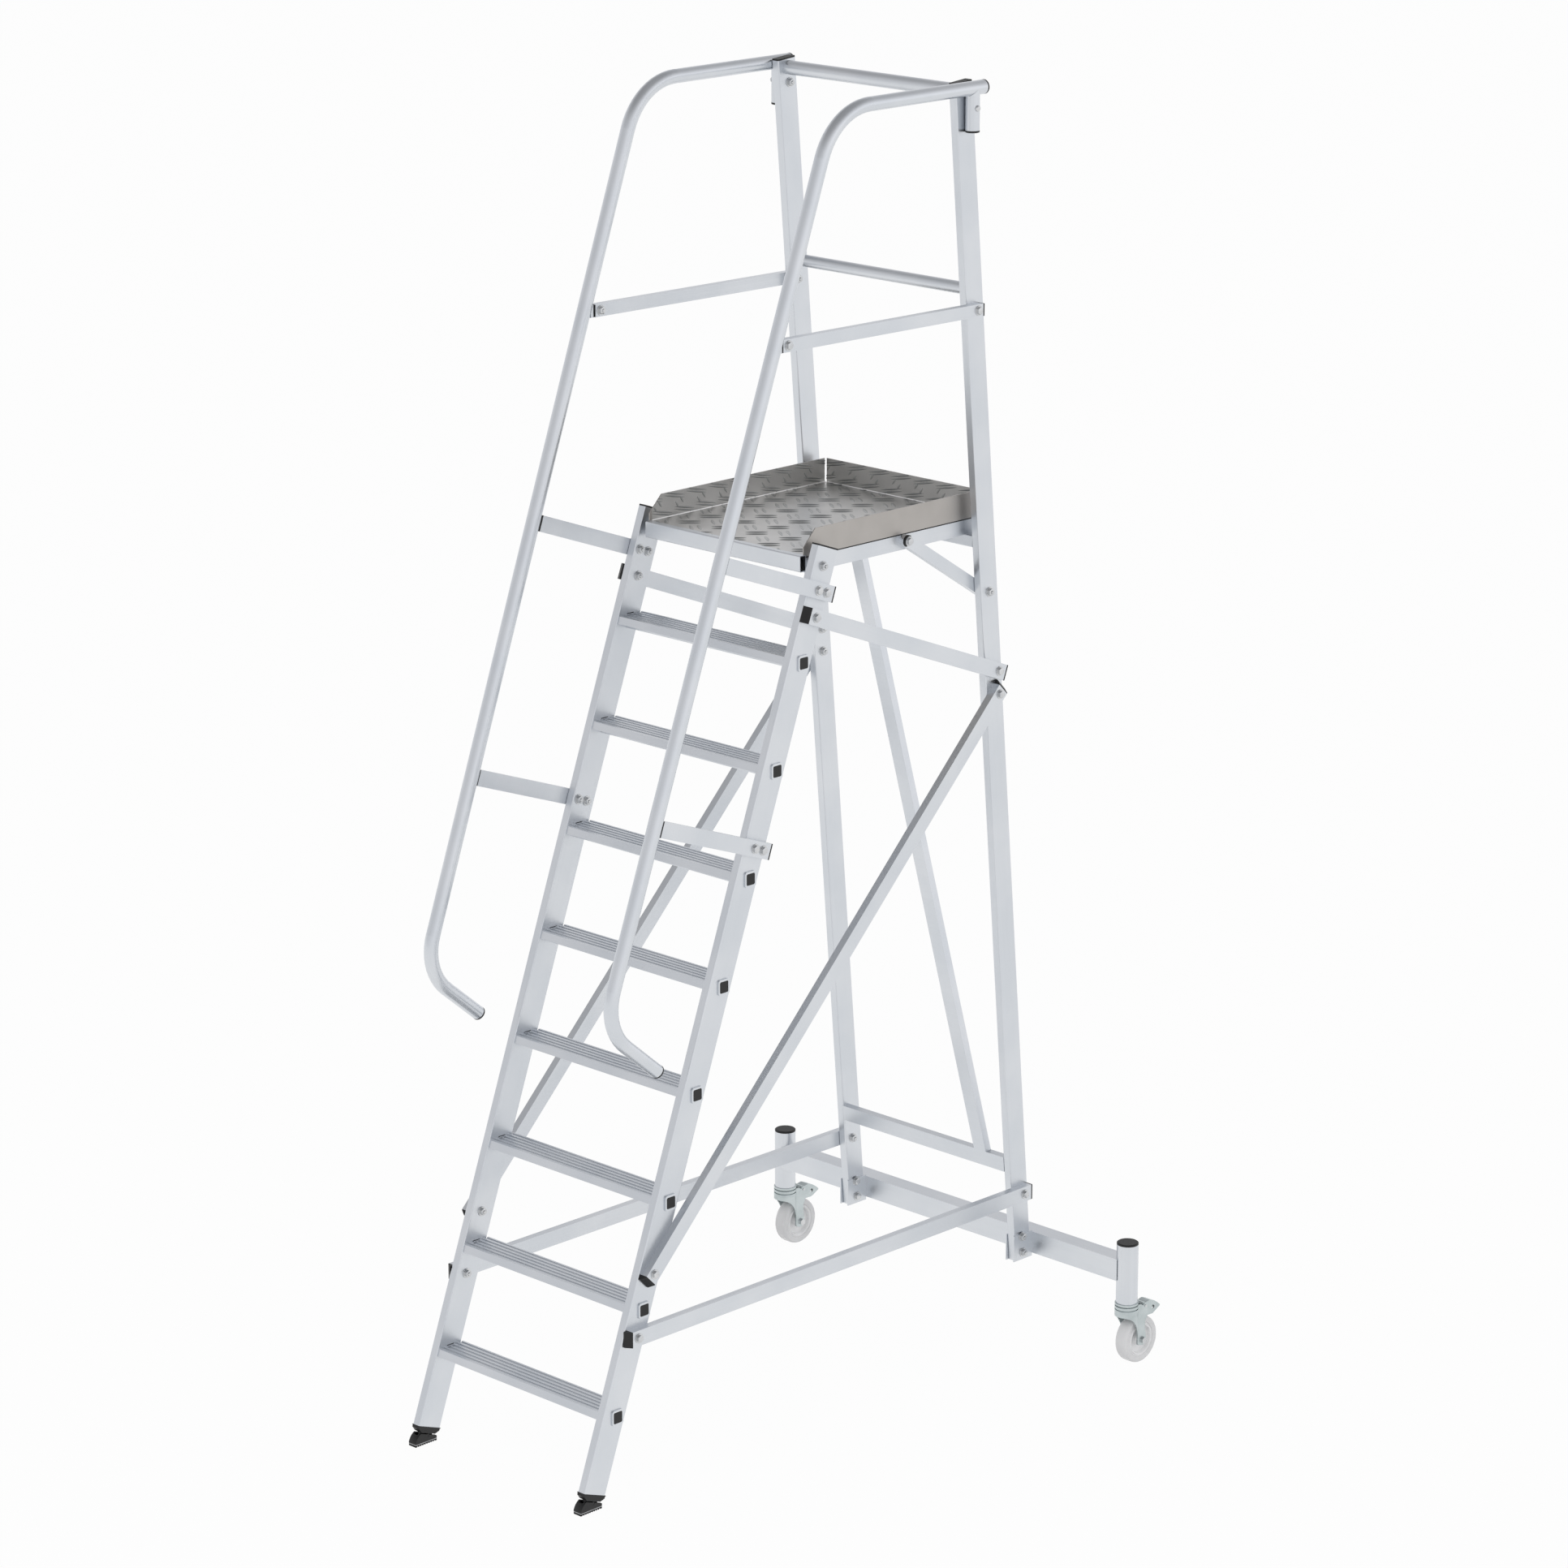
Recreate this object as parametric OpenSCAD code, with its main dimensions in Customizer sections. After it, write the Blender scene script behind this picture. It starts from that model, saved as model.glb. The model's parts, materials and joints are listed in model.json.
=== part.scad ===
// Mobile platform ladder: a one-sided flight of ribbed treads up to a guarded
// checker-plate platform, on two braked swivel casters and two pivoting feet.
// Millimetres. X is across the ladder, Y runs from the feet to the casters, Z is up.

/* [Flight] */
// Height from one tread to the next
tread_pitch = 250; // [235:1:265]
// Height of the lowest tread's walking face
first_tread = 237; // [225:1:250]
// Lean of the stiles back from vertical, degrees
stile_lean = 20; // [17:0.5:23]
// Clear width between the two stiles
clear_width = 570; // [500:5:700]
// Stile section, across the ladder
stile_width = 23; // [20:0.5:30]
// Stile section, front to back
stile_depth = 73; // [65:1:85]
// Wall of the box sections
wall = 2; // [1.5:0.1:3]
// Depth of a tread, front to back
tread_depth = 80; // [70:1:90]
// Height of the tread's front nose
nose_height = 17.5; // [14:0.5:22]
// Height of the anti-slip ribs on a tread
rib_height = 1.8; // [0.8:0.1:2.4]

/* [Platform] */
// Depth of the tray's floor behind the front rail
tray_depth = 617; // [560:1:700]
// Height of the toe boards above the tray's floor
toe_height = 62.5; // [50:0.5:100]
// Sheet thickness of the tray
sheet = 2.5; // [1.5:0.1:4]
// Gap between the stiles and the platform rails
rail_gap = 20; // [16:1:30]

/* [Rear frame] */
// Distance along the floor from the stile line to the post line
base_depth = 1575.4; // [1500:1:1650]
// Forward lean of the rear posts, degrees
post_lean = 5; // [4:0.5:6]
// Post section, front to back
post_depth = 60; // [50:1:70]
// Length of the base beam's half, middle to caster axis
caster_reach = 612; // [560:1:700]

/* [Bars and rails] */
// Thickness of the flat bars across the ladder
bar_thick = 20; // [16:1:25]
// Height of the flat bars
bar_height = 40; // [35:1:45]
// Height of the knee rails at the sides
knee_height = 31; // [28:1:36]
// Handrail tube diameter
rail_dia = 35; // [30:0.5:40]
// Height of the handrail's axis above the platform floor
rail_rise = 1072.5; // [1000:0.5:1150]
// Distance of the handrail's axis in front of the stile's front face
rail_offset = 326.5; // [300:0.5:350]

/* [Casters] */
// Wheel diameter
wheel_dia = 125; // [118:1:132]
// Wheel width
wheel_width = 37; // [30:1:40]
// Trail of the wheel's axle behind the swivel axis
trail = 39; // [37:0.5:41]
// Running clearance of the pins in their bores
run_gap = 0.06; // [0.02:0.01:0.09]

/* [Fasteners] */
// Bolt shank diameter
bolt_dia = 10; // [8:1:12]
// Bolt head diameter
head_dia = 19; // [16:0.5:22]
// Washer diameter
washer_dia = 25; // [22:0.5:28]

/* [Hidden] */
$fn = 48;

ALUMINIUM = [0.80, 0.81, 0.83];
PLATFORM_GREY = [0.60, 0.58, 0.56];
BLACK = [0.10, 0.10, 0.11];
ZINC = [0.68, 0.73, 0.73];
STEEL = [0.55, 0.56, 0.58];
WHITE = [0.86, 0.86, 0.86];
GREY = [0.55, 0.55, 0.55];

// Across the ladder
x_in = clear_width / 2;
x_out = x_in + stile_width;
x_bar = x_out + bar_thick;
x_tray = x_in - rail_gap;
rail_r = rail_dia / 2;
x_rail = x_out + bar_thick / 2;
x_stub = x_out + rail_r + 0.5;

// Points on the side view are [y, z]. A stile point is (along, back); a post point likewise.
function stile_pt(s, b) = [s * sin(stile_lean) + b * cos(stile_lean),
                           s * cos(stile_lean) - b * sin(stile_lean)];
function post_pt(s, b) = [base_depth - s * sin(post_lean) + b * cos(post_lean),
                          s * cos(post_lean) + b * sin(post_lean)];
function post_at(z, b) = post_pt((z - b * sin(post_lean)) / cos(post_lean), b);
function angle_of(p, q) = atan2(q[1] - p[1], q[0] - p[0]);
function dist(p, q) = norm([q[0] - p[0], q[1] - p[1]]);

// Heights
floor_z = first_tread + 8 * tread_pitch - 20.5;
rail_z = floor_z + rail_rise;
stile_bottom = 57;
stile_top = (floor_z + 33) / cos(stile_lean);
post_bottom = 226;
post_top = (rail_z + 8.5) / cos(post_lean);

// Treads: the chamber passes through the stile and is flared outside it
chamber_w = 28;
chamber_h = 30;
chamber_u = 38.6;
chamber_v = -17.7;
chamber_wall = 2.5;
rim = 4.5;
rim_thick = 3.6;
plug_w = 28;
plug_h = 28.6;
plug_thick = 2.2;
function tread_z(i) = first_tread + i * tread_pitch;
function tread_y(i) = tread_z(i) * tan(stile_lean) + 4.4;
function chamber_at(i) = [tread_y(i) + chamber_u, tread_z(i) + chamber_v];

// Platform
tray_z = floor_z - sheet;
pack_thick = 3;
side_rail_z = floor_z - 42.5;
front_rail_y = floor_z * tan(stile_lean) - 6.7;
tray_y = front_rail_y + bar_thick + 0.2;
tray_rear = tray_y + tray_depth;
rear_rail_z = side_rail_z - 30;
rear_rail_y = post_at(rear_rail_z, 0)[0];

// Bolt points on the side view
mid_stile = stile_depth / 2 - 2.5;
mid_post = post_depth / 2 + 1;
upper_a = stile_pt(stile_top - 169, mid_stile);
upper_b = post_at(floor_z - 390.5, mid_post);
diag_a = stile_pt(608, mid_stile);
diag_b = post_at(floor_z - 450.5, mid_post - 1.5);
lower_a = stile_pt(450, mid_stile);
lower_b = [post_at(lower_a[1], mid_post - 3)[0], lower_a[1]];
arm_high = stile_top - 105;
arm_low = stile_top - 739;
arm_bolts = [18.7, 47.3];
arm_short = 2.5;
knee_a = [(floor_z + 535.5) * tan(stile_lean) - rail_offset / cos(stile_lean) + 43, floor_z + 535.5];
knee_b = post_at(floor_z + 529.5, 21);
knee_over = 18;
tray_bolt = stile_pt(stile_top - 45, mid_stile);
strut_a = [tray_y + 339.5, floor_z - 18.5];
strut_b = post_at(floor_z - 188, mid_post - 1);
strut_nose = 12.4;
strut_band = 6;
flat_thick = 4.5;
foot_high = post_pt(286, 28);
foot_low = post_pt(242, 28);
stub_bolt = post_at(rail_z - 47, 35.5);

// Handrail path on the side view
arm_front = -rail_offset;
bend_low = 130;
bend_high = 170;
low_corner = stile_pt(arm_low - 488, arm_front);
high_corner = stile_pt((rail_z + arm_front * sin(stile_lean)) / cos(stile_lean), arm_front);
low_turn = 70;
low_dir = 90 - stile_lean + low_turn;
low_end = [low_corner[0] - 225 * cos(low_dir), low_corner[1] - 225 * sin(low_dir)];
high_turn = 90 - stile_lean;
rail_rear = post_at(rail_z, 0)[0] + 77;
stub_y = post_at(rail_z - 60, 35.5)[0];
stub_z = rail_z - 101;
cap_thick = 3;
splay_z = 1800;
splay = atan((x_stub - x_rail) / (rail_z - splay_z));

// Rear frame
cross_low = 472;
cross_high = cross_low + bar_height;
diag_top_x = -136;
diag_foot_x = 203;

// Base; the casters' upper parts rise with the wheel's size
lift = wheel_dia - 125;
beam_y = base_depth + 41.5;
beam_depth = 50;
beam_low = 233;
beam_high = 291;
tube_r = 28;
tube_wall = 2.5;
tube_low = 172 + lift;
tube_high = 330;
caster_y = beam_y + 28.1;
bracket_thick = 3;

// Casters, measured from the swivel axis
wheel_r = wheel_dia / 2;
axle_r = 5;
hub_r = 44;
leg_in = wheel_width / 2 + 2.5;
leg_out = leg_in + 3;
leg_r = 13;
leg_front = 17.5;
head_r = 30.5;
groove = 3.5;
skirt_wall = 3;
king_r = 7;
crown_low = 137 + lift;
crown_high = crown_low + 26.6;
race_low = crown_low + 27;
pin_y = trail + 8;
pin_z = crown_low + 17;
pin_r = 3.5;
pedal_half = 14;
pedal_tip = pin_y + 68.5;

// Feet, in stile coordinates
foot_pivot = stile_pt(36, stile_depth / 2 + 0.5);
foot_in = x_in - 1;
foot_out = x_out + 1;
foot_pin_r = 4;
lug_half = 5.5;
x_mid = (x_in + x_out) / 2;
sole_front = 6;
sole_rear = 75.5;
collar_drop = 15.8;
web_low = 36;
shoe_top = 38.2;
shoe_mid = 42;
shoe_r = 37.5;

// The origin is the middle of the box that holds everything, on the floor
mid_y = (sole_front + caster_y + pedal_tip) / 2;

// Shared building blocks

module placed() {
    translate([0, -mid_y, 0]) children();
}

module left() {
    mirror([1, 0, 0]) children();
}

module pair() {
    children();
    mirror([1, 0, 0]) children();
}

// Extrudes a [y, z] outline across the ladder from x0 to x1
module slab(x0, x1) {
    translate([x0, 0, 0]) rotate([90, 0, 90]) linear_extrude(x1 - x0) children();
}

module along_stile() {
    rotate([-stile_lean, 0, 0]) children();
}

module along_post() {
    translate([0, base_depth, 0]) rotate([post_lean, 0, 0]) children();
}

// A cylinder across the ladder at the side-view point p
module cross_pin(p, r, x0, x1) {
    translate([x0, p[0], p[1]]) rotate([0, 90, 0]) cylinder(r = r, h = x1 - x0);
}

module bolt_hole(p) {
    cross_pin(p, bolt_dia / 2 + 0.2, 0, caster_reach);
}

// A rectangle with round corners, from the origin
module round_rect(w, h, r) {
    translate([r, 0]) square([w - 2 * r, h]);
    translate([0, r]) square([w, h - 2 * r]);
    for (x = [r, w - r]) {
        for (y = [r, h - r]) {
            translate([x, y]) circle(r = r);
        }
    }
}

// An upright box section with round outer corners, its low front inner corner at the origin
module box_section(w, d, h) {
    difference() {
        linear_extrude(h) round_rect(w, d, 3);
        translate([wall, wall, -1]) cube([w - 2 * wall, d - 2 * wall, h + 2]);
    }
}

// Puts its children in a frame whose Y runs along the bar from p to q
module on_bar(p, q) {
    translate([0, p[0], p[1]]) rotate([angle_of(p, q), 0, 0]) children();
}

// A hollow flat bar through the bolt points p and q
module bar(p, q, over_p, over_q, h, x0, x1) {
    len = dist(p, q) + over_p + over_q;
    difference() {
        on_bar(p, q) translate([x0, -over_p, -h / 2]) difference() {
            cube([x1 - x0, len, h]);
            translate([wall, -1, wall]) cube([x1 - x0 - 2 * wall, len + 2, h - 2 * wall]);
        }
        bolt_hole(p);
        bolt_hole(q);
    }
}

// A black bevelled cap on the end of a bar that reaches over_p past p
module bevel_cap(p, q, over_p, h) {
    on_bar(p, q) {
        translate([x_out, -over_p, -h / 2]) linear_extrude(h) polygon([
            [0, 0], [bar_thick, 0], [bar_thick, -2], [4, -13], [0, -13]]);
        translate([x_out + wall + 0.1, -over_p, -h / 2 + wall + 0.1])
            cube([bar_thick - 2 * wall - 0.2, 9, h - 2 * wall - 0.2]);
    }
}

// A thin flat cap on the end of a bar
module flat_cap(p, q, over_p, h, x0, x1) {
    on_bar(p, q) {
        translate([x0, -over_p - flat_thick, -h / 2]) cube([x1 - x0, flat_thick, h]);
        translate([x0 + wall + 0.1, -over_p, -h / 2 + wall + 0.1])
            cube([x1 - x0 - 2 * wall - 0.2, 8, h - 2 * wall - 0.2]);
    }
}

// Leans a handrail out a little so that it clears the post at the top
module splayed() {
    translate([x_rail, 0, splay_z]) rotate([0, splay, 0]) translate([-x_rail, 0, -splay_z]) children();
}

module straight(p, a, len, r) {
    translate([x_rail, p[0], p[1]]) rotate([a - 90, 0, 0]) cylinder(r = r, h = len);
}

// A bend that turns clockwise on the side view from direction a by turn degrees
module bend(corner, a, turn, radius, r) {
    t = radius * tan(turn / 2);
    start = [corner[0] - t * cos(a), corner[1] - t * sin(a)];
    centre = [start[0] + radius * sin(a), start[1] - radius * cos(a)];
    translate([x_rail, centre[0], centre[1]]) rotate([90, 0, 90]) rotate([0, 0, a + 90 - turn])
        rotate_extrude(angle = turn) translate([radius, 0]) circle(r = r);
}

// The handrail's path as a solid of radius r, run past both ends by over.
// The bends are a hair fatter than the straights, which reach a little way into them.
module rail_path(r, over) {
    lap = 2;
    fat = 0.2;
    low_t = bend_low * tan(low_turn / 2);
    high_t = bend_high * tan(high_turn / 2);
    up = 90 - stile_lean;
    low_from = [low_end[0] - over * cos(low_dir), low_end[1] - over * sin(low_dir)];
    mid_from = [low_corner[0] + (low_t - lap) * cos(up), low_corner[1] + (low_t - lap) * sin(up)];
    mid_len = dist(low_corner, high_corner) - low_t - high_t + 2 * lap;
    top_from = high_corner[0] + high_t - lap;
    straight(low_from, low_dir, 225 - low_t + lap + over, r);
    bend(low_corner, low_dir, low_turn, bend_low, r + fat);
    straight(mid_from, up, mid_len, r);
    bend(high_corner, up, high_turn, bend_high, r + fat);
    straight([top_from, rail_z], 0, rail_rear - top_from + over, r);
}

// The straight part of the handrail, to cope pads with
module rail_cutter() {
    splayed() straight(low_corner, 90 - stile_lean, dist(low_corner, high_corner), rail_r);
}

// Flight

module stile() {
    difference() {
        along_stile() translate([x_in, 0, stile_bottom])
            box_section(stile_width, stile_depth, stile_top - stile_bottom);
        for (i = [0:7]) {
            slab(x_in - 5, x_out + 5) translate(chamber_at(i))
                square([chamber_w + 0.2, chamber_h + 0.2], center = true);
        }
        for (p = [upper_a, diag_a, lower_a, tray_bolt]) {
            bolt_hole(p);
        }
        for (s = [arm_high, arm_low]) {
            for (b = arm_bolts) {
                bolt_hole(stile_pt(s, b));
            }
        }
    }
}

module stile_left() {
    color(ALUMINIUM) left() stile();
}

module stile_right() {
    color(ALUMINIUM) stile();
}

// The tread's walking face, nose and rear lip, from its front top edge
module tread_skin() {
    lean_in = nose_height * tan(stile_lean);
    rib_pitch = (tread_depth - 8) / 5;
    translate([1, -rib_height - 2.8]) square([tread_depth - 4, 2.8]);
    for (k = [0:5]) {
        translate([2 + k * rib_pitch, -rib_height - 0.5]) square([5, rib_height + 0.5]);
    }
    polygon([[0, 0], [4, 0], [4, -4], [2.6, -4], [2.6 - lean_in, -nose_height], [-lean_in, -nose_height]]);
    polygon([[tread_depth - 4, -rib_height], [tread_depth, -rib_height - 3.5], [tread_depth, -13],
             [tread_depth - 2.5, -13], [tread_depth - 2.5, -rib_height - 3.6],
             [tread_depth - 5, -rib_height - 2.8], [tread_depth - 6, -rib_height]]);
}

module tread(i) {
    c = chamber_at(i);
    color(ALUMINIUM) difference() {
        union() {
            slab(-x_in, x_in) translate([tread_y(i), tread_z(i)]) tread_skin();
            slab(-x_out, x_out) translate(c) square([chamber_w, chamber_h], center = true);
            pair() slab(x_out, x_out + rim_thick) translate(c)
                translate([-chamber_w / 2 - rim, -chamber_h / 2 - rim])
                round_rect(chamber_w + 2 * rim, chamber_h + 2 * rim, 7);
        }
        slab(-x_out - 5, x_out + 5) translate(c)
            square([chamber_w - 2 * chamber_wall, chamber_h - 2 * chamber_wall], center = true);
        pair() slab(x_out + rim_thick - plug_thick - 0.2, x_out + 5) translate(c)
            translate([-plug_w / 2 - 0.1, -plug_h / 2 - 0.1]) round_rect(plug_w + 0.2, plug_h + 0.2, 4.1);
    }
}

module tread_1() {
    tread(0);
}

module tread_2() {
    tread(1);
}

module tread_3() {
    tread(2);
}

module tread_4() {
    tread(3);
}

module tread_5() {
    tread(4);
}

module tread_6() {
    tread(5);
}

module tread_7() {
    tread(6);
}

module tread_8() {
    tread(7);
}

module tread_plugs() {
    x_face = x_out + rim_thick - 0.2;
    x_seat = x_face - plug_thick;
    inner_w = chamber_w - 2 * chamber_wall - 0.2;
    inner_h = chamber_h - 2 * chamber_wall - 0.2;
    color(BLACK) for (i = [0:7]) {
        pair() {
            slab(x_seat, x_face) translate(chamber_at(i)) translate([-plug_w / 2, -plug_h / 2])
                round_rect(plug_w, plug_h, 4);
            slab(x_seat - 12, x_seat) translate(chamber_at(i))
                square([inner_w, inner_h], center = true);
        }
    }
}

// A flat cap with a plug, on the top of an upright box section
module box_cap(w, d) {
    linear_extrude(4) round_rect(w, d, 3);
    translate([wall + 0.1, wall + 0.1, -14]) cube([w - 2 * wall - 0.2, d - 2 * wall - 0.2, 14]);
}

module end_caps() {
    color(BLACK) pair() {
        along_stile() translate([x_in, 0, stile_top]) box_cap(stile_width, stile_depth);
        along_post() translate([x_in, 0, post_top]) box_cap(stile_width, post_depth);
    }
}

// Feet

// The collar's underside is cut back at the front and the rear, and a web under it carries the pin
module foot_plugs() {
    d = stile_depth;
    low = stile_bottom - collar_drop;
    color(BLACK) pair() {
        difference() {
            union() {
                along_stile() {
                    slab(foot_in, foot_out) polygon([
                        [-1, stile_bottom], [d + 1, stile_bottom], [d + 1, stile_bottom - 2],
                        [d - 1, stile_bottom - 2.5], [d - 1, stile_bottom - 7], [d - 13, low],
                        [13, low], [1, stile_bottom - 7], [1, stile_bottom - 2.5], [-1, stile_bottom - 2]]);
                    translate([x_in + wall + 0.1, wall + 0.1, stile_bottom])
                        cube([stile_width - 2 * wall - 0.2, d - 2 * wall - 0.2, 30]);
                    translate([x_mid - lug_half, 16, web_low]) cube([2 * lug_half, d - 32, 8]);
                }
                cross_pin(foot_pivot, 9, x_mid - lug_half, x_mid + lug_half);
            }
            cross_pin(foot_pivot, foot_pin_r + 0.05, x_in - 20, x_out + 20);
        }
        cross_pin(foot_pivot, foot_pin_r, foot_in, foot_out);
    }
}

// The shoe is a half disc on the sole, with two cheeks beside the web
module foot_shoe() {
    top_front = stile_pt(shoe_top, -30);
    top_rear = stile_pt(shoe_top, 120);
    web_front = stile_pt(web_low - 3.5, -30);
    web_rear = stile_pt(web_low - 3.5, 120);
    color(BLACK) difference() {
        slab(foot_in - 0.5, foot_out + 0.5) intersection() {
            translate([shoe_mid, -1]) circle(r = shoe_r);
            translate([sole_front, 7]) square([sole_rear - sole_front, 60]);
            polygon([top_front, top_rear, [top_rear[0], -50], [top_front[0], -50]]);
        }
        slab(x_mid - lug_half - 0.5, x_mid + lug_half + 0.5) {
            polygon([web_front, web_rear, [web_rear[0], 90], [web_front[0], 90]]);
            translate(foot_pivot) circle(r = 10.5);
        }
        cross_pin(foot_pivot, foot_pin_r + run_gap, x_in - 20, x_out + 20);
    }
}

module foot_shoe_left() {
    left() foot_shoe();
}

module foot_shoe_right() {
    foot_shoe();
}

module foot_shim() {
    color(GREY) translate([foot_in - 0.5, sole_front, 4.6])
        cube([foot_out - foot_in + 1, sole_rear - sole_front, 2.4]);
}

module foot_shim_left() {
    left() foot_shim();
}

module foot_shim_right() {
    foot_shim();
}

module foot_sole() {
    pitch = (sole_rear - sole_front) / 10;
    color(BLACK) difference() {
        translate([foot_in - 0.5, sole_front, 0]) cube([foot_out - foot_in + 1, sole_rear - sole_front, 4.6]);
        for (k = [1:9]) {
            translate([foot_in - 2, sole_front + k * pitch - pitch / 4, -1])
                cube([foot_out - foot_in + 4, pitch / 2, 3.6]);
        }
    }
}

module foot_sole_left() {
    left() foot_sole();
}

module foot_sole_right() {
    foot_sole();
}

// Platform

module platform_tray() {
    board_top = floor_z + toe_height;
    color(PLATFORM_GREY) {
        translate([-x_tray, tray_y, tray_z]) cube([2 * x_tray, tray_depth, sheet]);
        pair() slab(x_tray - sheet, x_tray) polygon([
            [tray_y, tray_z], [tray_y, floor_z + 2], [tray_y - 8, floor_z + 2], [tray_y - 8, floor_z + 20.5],
            [tray_y + 33, board_top], [tray_rear - 6, board_top], [tray_rear - 6, floor_z - 0.5],
            [tray_rear, floor_z - 0.5], [tray_rear, tray_z]]);
        translate([-x_tray + 6, tray_rear - sheet, tray_z]) cube([2 * x_tray - 12, sheet, board_top - tray_z]);
    }
}

module platform_front_rail() {
    color(ALUMINIUM) translate([-x_tray, front_rail_y, floor_z - 38.5]) difference() {
        rotate([90, 0, 90]) linear_extrude(2 * x_tray) round_rect(bar_thick, bar_height, 3);
        translate([-1, wall, wall]) cube([2 * x_tray + 2, bar_thick - 2 * wall, bar_height - 2 * wall]);
    }
}

module platform_side_rails() {
    h = tray_z - pack_thick - side_rail_z;
    len = tray_rear - front_rail_y - bar_thick;
    color(ALUMINIUM) pair() difference() {
        translate([x_tray - bar_thick, front_rail_y + bar_thick, side_rail_z]) difference() {
            cube([bar_thick, len, h]);
            translate([wall, -1, wall]) cube([bar_thick - 2 * wall, len + 2, h - 2 * wall]);
        }
        bolt_hole(tray_bolt);
        bolt_hole(strut_a);
    }
}

module platform_rear_rail() {
    color(ALUMINIUM) translate([-x_in, rear_rail_y, rear_rail_z]) difference() {
        rotate([90, 0, 90]) linear_extrude(2 * x_in) round_rect(post_depth, 30, 3);
        translate([-1, wall, wall]) cube([2 * x_in + 2, post_depth - 2 * wall, 30 - 2 * wall]);
    }
}

module platform_packing() {
    color(BLACK) pair() translate([x_tray - bar_thick, tray_y, tray_z - pack_thick])
        cube([bar_thick, tray_depth, pack_thick]);
}

module platform_spacers() {
    color(ALUMINIUM) pair() difference() {
        cross_pin(tray_bolt, 13, x_tray, x_in);
        bolt_hole(tray_bolt);
    }
}

module platform_struts() {
    color(ALUMINIUM) pair() difference() {
        union() {
            bar(strut_a, strut_b, 0, 22, 30, x_tray, x_in);
            on_bar(strut_a, strut_b) intersection() {
                union() {
                    cross_pin([0, 0], strut_nose, x_tray, x_in);
                    cross_pin([0, 0], 14.9, x_tray, x_in - strut_band);
                }
                translate([x_tray, -20, -20]) cube([rail_gap, 21, 40]);
            }
        }
        bolt_hole(strut_a);
    }
}

// Rear frame

module rear_post() {
    difference() {
        along_post() translate([x_in, 0, post_bottom])
            box_section(stile_width, post_depth, post_top - post_bottom);
        for (p = [upper_b, diag_b, lower_b, knee_b, strut_b, foot_high, foot_low, stub_bolt]) {
            bolt_hole(p);
        }
    }
}

module rear_post_left() {
    color(ALUMINIUM) left() rear_post();
}

module rear_post_right() {
    color(ALUMINIUM) rear_post();
}

// A tube across the ladder between the posts
module post_tube(p, r) {
    color(ALUMINIUM) difference() {
        cross_pin(p, r, -x_in, x_in);
        cross_pin(p, r - wall, -x_in - 1, x_in + 1);
    }
}

module rear_top_rail() {
    post_tube(post_at(rail_z - 9, 30), rail_r);
}

module rear_knee_rail() {
    post_tube(post_at(floor_z + 576.5, 32), knee_height / 2 - 0.25);
}

module rear_cross_bar() {
    color(ALUMINIUM) along_post() translate([-x_in, 0, cross_low]) difference() {
        cube([2 * x_in, bar_thick, bar_height]);
        translate([-1, wall, wall]) cube([2 * x_in + 2, bar_thick - 2 * wall, bar_height - 2 * wall]);
    }
}

module rear_diagonal() {
    top_s = rear_rail_z / cos(post_lean);
    run = diag_top_x - diag_foot_x;
    rise = top_s - cross_high;
    len = norm([run, rise]) + 120;
    color(ALUMINIUM) difference() {
        along_post() translate([diag_foot_x, 0, cross_high]) rotate([0, atan2(run, rise), 0])
            translate([-bar_height / 2, 0, -60]) difference() {
                cube([bar_height, bar_thick, len]);
                translate([wall, wall, -1]) cube([bar_height - 2 * wall, bar_thick - 2 * wall, len + 2]);
            }
        along_post() translate([-x_in, -50, cross_high - 200]) cube([2 * x_in, 200, 200]);
        translate([-x_in, rear_rail_y - 100, rear_rail_z]) cube([2 * x_in, 300, 200]);
    }
}

module side_knee_rails() {
    color(ALUMINIUM) pair() bar(knee_a, knee_b, knee_over, 16, knee_height, x_out, x_bar);
}

// Handrails

module handrail() {
    color(ALUMINIUM) splayed() difference() {
        rail_path(rail_r, 0);
        rail_path(rail_r - wall, 1);
    }
}

module handrail_left() {
    left() handrail();
}

module handrail_right() {
    handrail();
}

// One arm, square to the stile
module handrail_arm(s) {
    front = arm_front + rail_r + 0.6;
    len = stile_depth - arm_short - front;
    difference() {
        along_stile() translate([x_out, front, s - bar_height / 2]) difference() {
            cube([bar_thick, len, bar_height]);
            translate([wall, -1, wall]) cube([bar_thick - 2 * wall, len + 2, bar_height - 2 * wall]);
        }
        for (b = arm_bolts) {
            bolt_hole(stile_pt(s, b));
        }
    }
}

module handrail_arms() {
    color(ALUMINIUM) pair() {
        handrail_arm(arm_high);
        handrail_arm(arm_low);
    }
}

module rail_stub() {
    difference() {
        translate([x_stub, stub_y, stub_z]) difference() {
            cylinder(r = rail_r, h = rail_z - stub_z);
            translate([0, 0, -1]) cylinder(r = rail_r - wall, h = rail_z - stub_z + 2);
        }
        translate([x_stub, stub_y - 60, rail_z]) rotate([-90, 0, 0]) cylinder(r = rail_r + 0.3, h = 120);
        cross_pin(stub_bolt, bolt_dia / 2 + 0.2, x_in, x_stub + 50);
    }
}

module rail_stubs() {
    color(ALUMINIUM) pair() rail_stub();
}

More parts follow.
